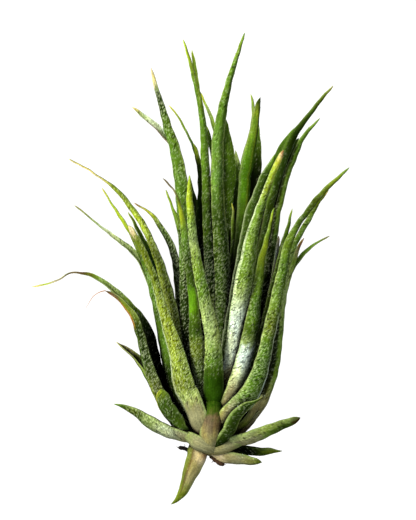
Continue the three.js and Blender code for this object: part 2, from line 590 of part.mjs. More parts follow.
    rows: [
      [-0.4, 13, -2.4, 2.0], [-0.8, 32, -3.8, 2.2], [-1.2, 52, -4.4, 2.0], [-1.4, 66, -4.5, 1.6],
      [-1.4, 74, -4.5, 1.4], [-1.7, 81, -4.5, 1.3], [-2.6, 86.75, -4.4, 1.2], [-3.4, 91.9, -4.3, 1.1],
      [-3.9, 95.5, -4.2, 1.0], [-4.5, 99.5, -4.2, 0.6],
    ],
  },
  {
    name: "inner_leaf_7",
    colour: "silverGreen",
    turn: [175, 0],
    rows: [
      [0.4, 13, -2.6, 1.8], [1.4, 32, -4, 2.1], [2, 50, -4.4, 2.0], [2.1, 64, -4.5, 1.7],
      [1.9, 73, -4.5, 1.4], [1.5, 78, -4.5, 1.15], [0.6, 81.6, -4.5, 1.0], [-0.4, 84.2, -4.4, 0.85],
      [-1.4, 86.6, -4.4, 0.7], [-2.5, 89, -4.4, 0.6],
    ],
  },
  {
    name: "inner_leaf_12",
    colour: "darkGreen",
    turn: [-50, 0],
    rows: [
      [-0.8, 13, 1.2, 2.0], [-1.6, 28, 1.8, 2.2], [-2.4, 46, 2, 2.0], [-2.5, 57, 2, 1.9],
      [-2.3, 64, 2, 1.6], [-2.4, 69, 2, 1.5], [-3, 72, 2, 1.3], [-3.6, 74.3, 2, 0.9],
      [-4.25, 76, 2, 0.6],
    ],
  },
  {
    name: "inner_leaf_11",
    colour: "silverGreen",
    turn: [-150, 0],
    rows: [
      [-0.6, 13, -0.6, 1.8], [-1.4, 30, -1.6, 2.0], [-1.8, 50, -2, 1.8], [-2.0, 64, -2, 1.4],
      [-2.5, 69, -2, 1.1], [-3.4, 73, -2, 0.9], [-4.4, 75.6, -2, 0.75], [-5.4, 77.9, -2, 0.7],
      [-6.7, 80.4, -2, 0.7], [-8.4, 83.3, -2, 0.6], [-10.25, 85.5, -2, 0.6],
    ],
  },
  {
    name: "inner_leaf_9",
    colour: "silverGreen",
    turn: [120, 0],
    rows: [
      [1.3, 14, -0.6, 1.6], [4.4, 34, -0.8, 1.8], [6.8, 52, -0.8, 1.7], [8.2, 64, -0.8, 1.5],
      [9.6, 74, -0.8, 1.3], [10.6, 80, -0.8, 1.1], [10.95, 84, -0.8, 0.95], [10.6, 86.5, -0.8, 0.75],
      [10.2, 88.3, -0.8, 0.6],
    ],
  },
  {
    name: "inner_leaf_10",
    colour: "oliveGreen",
    turn: [160, 0],
    rows: [
      [1.0, 14, -1.8, 1.6], [3.6, 34, -3, 1.8], [5.6, 52, -3.3, 1.8], [6.8, 63, -3.3, 1.6],
      [7.2, 68.5, -3.3, 1.4], [6.8, 72, -3.3, 1.0], [6.4, 74.25, -3.3, 0.6],
    ],
  },
  {
    name: "inner_leaf_8",
    colour: "darkGreen",
    turn: [20, 0],
    rows: [
      [0.5, 15, 0.8, 1.4], [0.8, 32, 1.2, 1.8], [0.8, 48, 1.4, 1.7], [0.7, 60, 1.4, 1.6],
      [0.6, 66, 1.4, 1.4], [0.9, 71.5, 1.4, 1.1], [0.35, 74.25, 1.4, 1.1], [0, 76.5, 1.4, 1.1],
      [-0.5, 79, 1.4, 0.8], [-0.9, 80.3, 1.4, 0.6],
    ],
  },
  {
    name: "inner_leaf_13",
    colour: "brightGreen",
    turn: [20, 0],
    rows: [
      [1.2, 18, 0.9, 1.4], [3.0, 30, 1.3, 1.7], [4.4, 40, 1.5, 1.7], [5.4, 46.5, 1.5, 1.5],
      [5.9, 51, 1.5, 1.4], [5.8, 55, 1.5, 1.1], [5.75, 58.5, 1.5, 0.75], [5.5, 61, 1.5, 0.6],
    ],
  },
];

// The cut-off root stubs at the foot of the stem.
const ROOTS = [
  {
    name: "root_1",
    points: [[0.4, -2.2, 3.2], [1.4, -3.2, 4.4], [2.6, -4.1, 4.6], [3.6, -4.4, 4.4]],
    radius: 0.7,
  },
  {
    name: "root_2",
    points: [[-3.2, -0.6, 0.4], [-5.0, -0.9, 1.2], [-6.6, -0.4, 1.6], [-7.9, -0.2, 1.6]],
    radius: 0.6,
  },
];

// ---------------------------------------------------------------- solids

function toSolid(geometry) {
  const bare = geometry.index ? geometry.toNonIndexed() : geometry.clone();
  bare.deleteAttribute("normal");
  bare.deleteAttribute("uv");
  const merged = mergeVertices(bare, 1e-4);
  return new wasm.Manifold(
    new wasm.Mesh({
      numProp: 3,
      vertProperties: new Float32Array(merged.attributes.position.array),
      triVerts: new Uint32Array(merged.index.array),
    }),
  );
}

function toGeometry(solid) {
  const mesh = solid.getMesh();
  const geometry = new THREE.BufferGeometry();
  geometry.setAttribute("position", new THREE.BufferAttribute(mesh.vertProperties, 3));
  geometry.setIndex(new THREE.BufferAttribute(mesh.triVerts, 1));
  geometry.computeVertexNormals();
  return geometry;
}

// A cut can leave scraps beside the leaf: only the largest body stays.
function largestBody(solid) {
  const bodies = solid.decompose();
  return bodies.reduce((best, body) => (body.volume() > best.volume() ? body : best));
}

function boxesMeet(a, b) {
  const first = a.boundingBox();
  const second = b.boundingBox();
  return [0, 1, 2].every((i) => first.min[i] < second.max[i] && second.min[i] < first.max[i]);
}

// ---------------------------------------------------------------- leaf shape

function outwardSide([azimuth, dip]) {
  const round = THREE.MathUtils.degToRad(azimuth);
  const down = THREE.MathUtils.degToRad(dip);
  return new THREE.Vector3(
    Math.sin(round) * Math.cos(down),
    -Math.sin(down),
    Math.cos(round) * Math.cos(down),
  );
}

function bladeThickness(width) {
  return THREE.MathUtils.clamp(width * THICKNESS_TO_WIDTH, BLADE_MIN, BLADE_MAX);
}

// The section's points in (side, out): the convex back from edge to edge, then the channel.
function sectionPoints(width, grow) {
  const half = width / 2;
  const thickness = bladeThickness(width) + 2 * grow;
  const reach = (half + grow) / half;
  const middle = (u) => CHANNEL_DEPTH * width * (0.5 - u * u);
  const back = RIBS.map((u) => [u * half * reach, middle(u) + thickness / 2]);
  const channel = RIBS.map((u) => {
    const side = u * half * reach;
    return [side - Math.sign(u) * (Math.abs(u) === 1 ? EDGE_BEVEL : 0), middle(u) - thickness / 2];
  });
  return [...back, ...channel.reverse()];
}

// The real width of a leaf that looks this wide from above, at its turn.
function realWidth(seenWidth, sideAcross, outAcross) {
  const spread = RIBS.map((u) => (u / 2) * sideAcross - CHANNEL_DEPTH * u * u * outAcross);
  const share = Math.max(...spread) - Math.min(...spread);
  const edge = BLADE_MIN * Math.abs(outAcross);
  return THREE.MathUtils.clamp((seenWidth - edge) / share, BLADE_MIN, WIDEST_LEAF);
}

function leafRing(curve, rows, out, u, grow) {
  const t = curve.getUtoTmapping(u);
  const centre = curve.getPoint(t);
  const along = curve.getTangent(t);
  const outward = out.clone().addScaledVector(along, -out.dot(along)).normalize();
  const side = new THREE.Vector3().crossVectors(along, outward);
  const across = new THREE.Vector3(-along.y, along.x, 0).normalize();
  const row = t * (rows.length - 1);
  const before = Math.min(Math.floor(row), rows.length - 2);
  const seen = THREE.MathUtils.lerp(rows[before][3], rows[before + 1][3], row - before);
  const width = realWidth(seen, side.dot(across), outward.dot(across));
  const ring = sectionPoints(width, grow).map(([sideways, outwards]) =>
    new THREE.Vector3().addScaledVector(side, sideways).addScaledVector(outward, outwards),
  );
  // The leaf's middle, as seen from above, lies on its centreline.
  const reach = ring.map((point) => point.dot(across));
  const offset = (Math.max(...reach) + Math.min(...reach)) / 2;
  const shift = centre.addScaledVector(across, -offset);
  return ring.map((point) => point.add(shift));
}

function ringsToGeometry(rings) {
  const count = rings[0].length;
  const ribs = RIBS.length;
  const index = [];
  for (let r = 0; r < rings.length - 1; r++) {
    for (let i = 0; i < count; i++) {
      const a = r * count + i;
      const b = r * count + ((i + 1) % count);
      const c = b + count;
      const d = a + count;
      // The channel's triangles mirror those of the back, so that the two faces stay parallel.
      if (i < ribs) {
        index.push(a, b, c, a, c, d);
      } else {
        index.push(a, b, d, b, c, d);
      }
    }
  }
  const last = (rings.length - 1) * count;
  for (let i = 0; i < ribs - 1; i++) {
    const j = count - 1 - i;
    index.push(i, j, i + 1, i + 1, j, j - 1);
    index.push(last + i, last + i + 1, last + j, last + i + 1, last + j - 1, last + j);
  }
  const geometry = new THREE.BufferGeometry();
  const points = rings.flat();
  const position = new Float32Array(points.flatMap((point) => [point.x, point.y, point.z]));
  geometry.setAttribute("position", new THREE.BufferAttribute(position, 3));
  geometry.setIndex(index);
  return geometry;
}

// How many times deeper the rosette is at this height than at its base.
function fanned(height) {
  return 1 + FAN * THREE.MathUtils.smoothstep(height, FAN_START, FAN_END);
}

function leafGeometry(leaf, grow) {
  const points = leaf.rows.map(([x, y, z]) => new THREE.Vector3(x, y, z * fanned(y)));
  const curve = new THREE.CatmullRomCurve3(points, false, "catmullrom", 0.5);
  const out = outwardSide(leaf.turn);
  const steps = THREE.MathUtils.clamp(
    Math.round(curve.getLength() / RING_SPACING),
    FEWEST_RINGS,
    MOST_RINGS,
  );
  const rings = [];
  for (let i = 0; i <= steps; i++) {
    rings.push(leafRing(curve, leaf.rows, out, i / steps, grow));
  }
  if (grow > 0) {
    const first = curve.getTangent(0).multiplyScalar(-grow);
    const end = curve.getTangent(1).multiplyScalar(grow);
    rings[0].forEach((point) => point.add(first));
    rings[steps].forEach((point) => point.add(end));
  }
  return ringsToGeometry(rings);
}

// ---------------------------------------------------------------- stem and roots

function stemGeometry(grow) {
  const bottom = STEM_PROFILE[0][0] - grow;
  const top = STEM_PROFILE[STEM_PROFILE.length - 1][0] + grow;
  const outline = [new THREE.Vector2(0, bottom)];
  STEM_PROFILE.forEach(([height, radius], i) => {
    const ends = i === 0 ? bottom : i === STEM_PROFILE.length - 1 ? top : height;
    outline.push(new THREE.Vector2(radius + grow, ends));
  });
  outline.push(new THREE.Vector2(0, top));
  return new THREE.LatheGeometry(outline, STEM_SIDES);
}

function rootGeometry(root, grow) {
  const points = root.points.map(([x, y, z]) => new THREE.Vector3(x, y, z));
  const curve = new THREE.CatmullRomCurve3(points, false, "catmullrom", 0.5);
  const outline = new THREE.Shape();
  for (let i = 0; i < ROOT_SIDES; i++) {
    const angle = (i / ROOT_SIDES) * 2 * Math.PI;
    const radius = root.radius + grow;
    const corner = [Math.cos(angle) * radius, Math.sin(angle) * radius];
    if (i === 0) {
      outline.moveTo(...corner);
    } else {
      outline.lineTo(...corner);
    }
  }
  outline.closePath();
  return new THREE.ExtrudeGeometry(outline, {
    steps: ROOT_STEPS,
    curveSegments: 1,
    extrudePath: curve,
    bevelEnabled: false,
  });
}

// ---------------------------------------------------------------- assembly

const plant = new THREE.Group();
const placed = [];

function surfaceBlock() {
  const block = new THREE.BoxGeometry(SURFACE_SIZE, SURFACE_SIZE, SURFACE_DEPTH);
  block.translate(0, 0, REST_HEIGHT - SURFACE_DEPTH / 2);
  return toSolid(block);
}

const surface = surfaceBlock();

function place(name, colour, geometry, grown, roughness) {
  let body = toSolid(geometry);
  for (const neighbour of placed) {
    if (boxesMeet(body, neighbour)) {
      body = body.subtract(neighbour);
    }
  }
  body = largestBody(body.subtract(surface));
  const material = new THREE.MeshStandardMaterial({
    color: COLOURS[colour],
    roughness,
    metalness: 0,
  });
  const mesh = new THREE.Mesh(toGeometry(body), material);
  mesh.name = name;
  plant.add(mesh);
  placed.push(toSolid(grown));
}

place("stem", "stemBrown", stemGeometry(0), stemGeometry(GAP), 0.9);
for (const leaf of LEAVES) {
  place(leaf.name, leaf.colour, leafGeometry(leaf, 0), leafGeometry(leaf, GAP), 0.6);
}
for (const root of ROOTS) {
  place(root.name, "rootBrown", rootGeometry(root, 0), rootGeometry(root, GAP), 0.9);
}

// The origin goes to the bottom centre of the plant's box.
const box = new THREE.Box3().setFromObject(plant);
const middle = box.getCenter(new THREE.Vector3());
plant.position.set(-middle.x, -middle.y, -box.min.z);

export default plant;
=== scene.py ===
"""Air plant: fine leaves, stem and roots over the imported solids, lying on a plain pale floor.

The frame is in metres, +Y from the stem's foot towards the crown, +X to the right, +Z up. The
leaves are laid out in millimetres round the stem's foot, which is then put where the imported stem
is. Their rows are those of the solids, apart from middle_leaf_right_5, which is up to 0.6 mm wider
in its middle, and outer_leaf_front_5, which is up to 0.6 mm narrower there. The sheaths, papery
remains of old leaves, are only here.
"""

import json
import math

import bpy
import numpy as np
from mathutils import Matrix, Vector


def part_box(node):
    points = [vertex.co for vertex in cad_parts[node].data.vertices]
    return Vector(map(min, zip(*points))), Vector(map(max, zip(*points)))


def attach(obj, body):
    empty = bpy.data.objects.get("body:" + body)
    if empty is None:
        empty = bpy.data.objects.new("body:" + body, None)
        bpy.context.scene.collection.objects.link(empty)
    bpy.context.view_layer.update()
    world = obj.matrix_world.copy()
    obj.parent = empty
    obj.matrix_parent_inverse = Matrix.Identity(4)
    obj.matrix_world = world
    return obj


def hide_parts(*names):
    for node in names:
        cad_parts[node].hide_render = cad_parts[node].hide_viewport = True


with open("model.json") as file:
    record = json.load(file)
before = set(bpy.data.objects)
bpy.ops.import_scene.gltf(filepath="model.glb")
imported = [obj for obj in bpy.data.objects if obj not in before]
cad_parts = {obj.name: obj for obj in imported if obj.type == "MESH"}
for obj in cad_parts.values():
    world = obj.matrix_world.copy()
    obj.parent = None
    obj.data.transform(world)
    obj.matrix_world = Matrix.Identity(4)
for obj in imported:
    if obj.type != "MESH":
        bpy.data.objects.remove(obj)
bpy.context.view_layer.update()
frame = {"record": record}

MM = 0.001

# ---- the leaves' form, as in the solids

FAN = 0.8  # how much deeper than its base, front to back, the rosette opens at the crown
FAN_START = 15  # the heights between which it opens
FAN_END = 100
WIDEST_LEAF = 6.2
CHANNEL_DEPTH = 0.24  # as a share of the leaf's width

# ---- how finely they are made here

RING_STEP = 0.7  # from one section to the next along a leaf
ACROSS = 13  # points from edge to edge on each face
CURVE_STEPS = 24  # samples between two rows, to measure the length
FEWEST_STEPS = 8
WIDTH_STEPS = 6  # rounds that bring a leaf to the width that its row gives
WIDTH_RANGE = (0.6, 2.2)  # the least and most that they make of it, as shares
THICKNESS_TO_WIDTH = 0.17
THINNEST = 0.42
THICKEST = 0.95
THICKNESS_TO_LOOKS = 0.75  # at most, as a share of how wide the leaf looks
THREAD_FROM = 0.9  # a leaf that looks narrower than this thins out into a thread
THREAD_POWER = 1.7
POINT_LENGTH = 1.2  # the last stretch, which tapers to a blunt point
BLUNT_POINT = 0.3  # how wide the very end is, as a share
EDGE_THINNING = 0.62  # how much thinner than its middle the blade is at its edges
RIB_HEIGHT = 0.03
RIB_WAVES = 5
RIB_FULL = 3  # leaves narrower than this have lower ribs
SWAY_ASIDE = 0.10  # how far a leaf wanders from its centreline, and the lengths of those waves
SWAY_ASIDE_WAVES = (9, 5.3, 3.1)
SWAY_OUT = 0.14
SWAY_OUT_WAVES = (11, 6.1, 3.7)
EDGE_WAVE = 0.035  # how much its edges wander, as a share of its width
LEFT_EDGE_WAVES = (4.3, 2.6, 1.7)
RIGHT_EDGE_WAVES = (4.9, 2.9, 1.6)
INTO_STEM = 0.8  # how far a leaf's base runs back into what carries it

# The silvery scales that stand on the leaves, and the hairs at their edges.
FLAKES_PER_AREA = 1.1
FEWEST_FLAKES = 0.06  # how dense they are where the looks ask for none
FLAKE_LENGTH = (0.28, 0.6)
FLAKE_WIDTH = 0.13
FLAKE_HEIGHT = 0.07
FLAKE_SLANT = (15, 50)  # degrees from the leaf's direction
FLAKE_BRIGHTNESS = (0.5, 1.0)
SUNK = 0.03  # how far the feet of scales and hairs are in the skin
HAIRS_PER_LENGTH = 0.35
HAIR_LENGTH = (0.3, 0.7)
HAIR_WIDTH = 0.09
HAIR_ASIDE = (0.4, 1)  # how a hair points: aside from the blade, along it and off its back
HAIR_ALONG = (0.2, 1)
HAIR_OUT = (-0.5, 0.4)
HAIR_BRIGHTNESS = 0.9
THREAD_RADIUS = (0.13, 0.04)  # the long dry thread, at its foot and its end
THREAD_STEP = 0.4
THREAD_SIDES = 5
THREAD_ROUGHNESS = 0.1

# The materials' patterns lie on one plane, where the two faces of a leaf and the leaves are this
# far apart, in mm.
FACE_APART = 40
LEAF_APART = 100

# ---- colours

# Tones of the plant as they look under the light, 0 to 255.
TONES = {
    # Near black: painted shade for leaves and sides of leaves that lie in shadow.
    "ink": (14, 22, 6),
    "forest": (34, 54, 12),
    "moss": (58, 84, 22),
    "leaf": (84, 122, 34),
    "fern": (112, 148, 48),
    "bright": (92, 144, 26),
    "jade": (94, 134, 52),
    "teal": (52, 92, 40),
    "lime": (160, 188, 48),
    "acid": (208, 214, 76),
    "olive": (102, 122, 34),
    "grass": (132, 154, 40),
    "sage": (146, 172, 100),
    "emerald": (40, 72, 10),
    "silver": (212, 236, 226),
    "scale": (214, 228, 190),
    "frost": (196, 216, 178),
    "ash": (150, 152, 112),
    "cream": (222, 210, 172),
    "straw": (226, 214, 132),
    "khaki": (152, 148, 100),
    "bark": (112, 100, 76),
    "umber": (74, 50, 26),
    "rust": (178, 120, 60),
    "rose": (164, 144, 132),
    "soot": (26, 20, 12),
}
ALBEDO = 0.128  # from how bright a tone looks to how much light the surface returns
SCALE_GLOW = 2.5  # how much brighter than the skin a scale is, before it turns silvery
SCALE_SILVER = 0.45
MARGIN_PALE_AND_HIGHLIGHT = 0.7  # how far the thin margins turn pale, as their own paler skin and as a painted highlight along the edge
MARGIN_FROM = 0.82  # where they start, as a share of the way to the edge
MARGIN_BLEND = 0.14
ZONE_RAGGED = 1.0  # how far the limits between the tones of a leaf wander
BAND_BLEND = 0.12  # how softly a band ends, across the leaf and along it
BAND_FADE = 3
BAND_ENDS = (-1000, 1000)  # the heights of a band that runs all along its leaf
SPOT_REACH = 1.5  # where a spot has faded out, in its radii
WARM_TINT = (1.1, 1.03, 0.76, 1)  # what yellowing leaves of the skin's colour
CREVICE_REACH = 3.8  # how near another leaf must be for the painted shade to darken the skin
CREVICE_OPENNESS = (0.47, 0.93)  # how open the narrowest gaps are, and free skin
CREVICE_BRIGHTNESS = (0.02, 1.12)  # and what is left of the colour there
DASH_WIDTH = 0.27  # a scale's size as painted
DASH_LENGTH = 0.8
DASH_SLANT = 38  # degrees

# Each leaf slot: roughness, how strongly the scales cover the skin, how strong the relief is.
LEAF_FINISHES = {
    "leaf_silver_green": (0.55, 0.85, 0.5),
    "leaf_yellow_green": (0.55, 0.8, 0.5),
    "leaf_bright_green": (0.48, 0.75, 0.4),
    "leaf_deep_green": (0.5, 0.85, 0.45),
    "leaf_dark_green": (0.5, 0.95, 0.45),
    "leaf_olive_green": (0.58, 0.75, 0.5),
    "leaf_pale_green": (0.62, 0.75, 0.55),
}
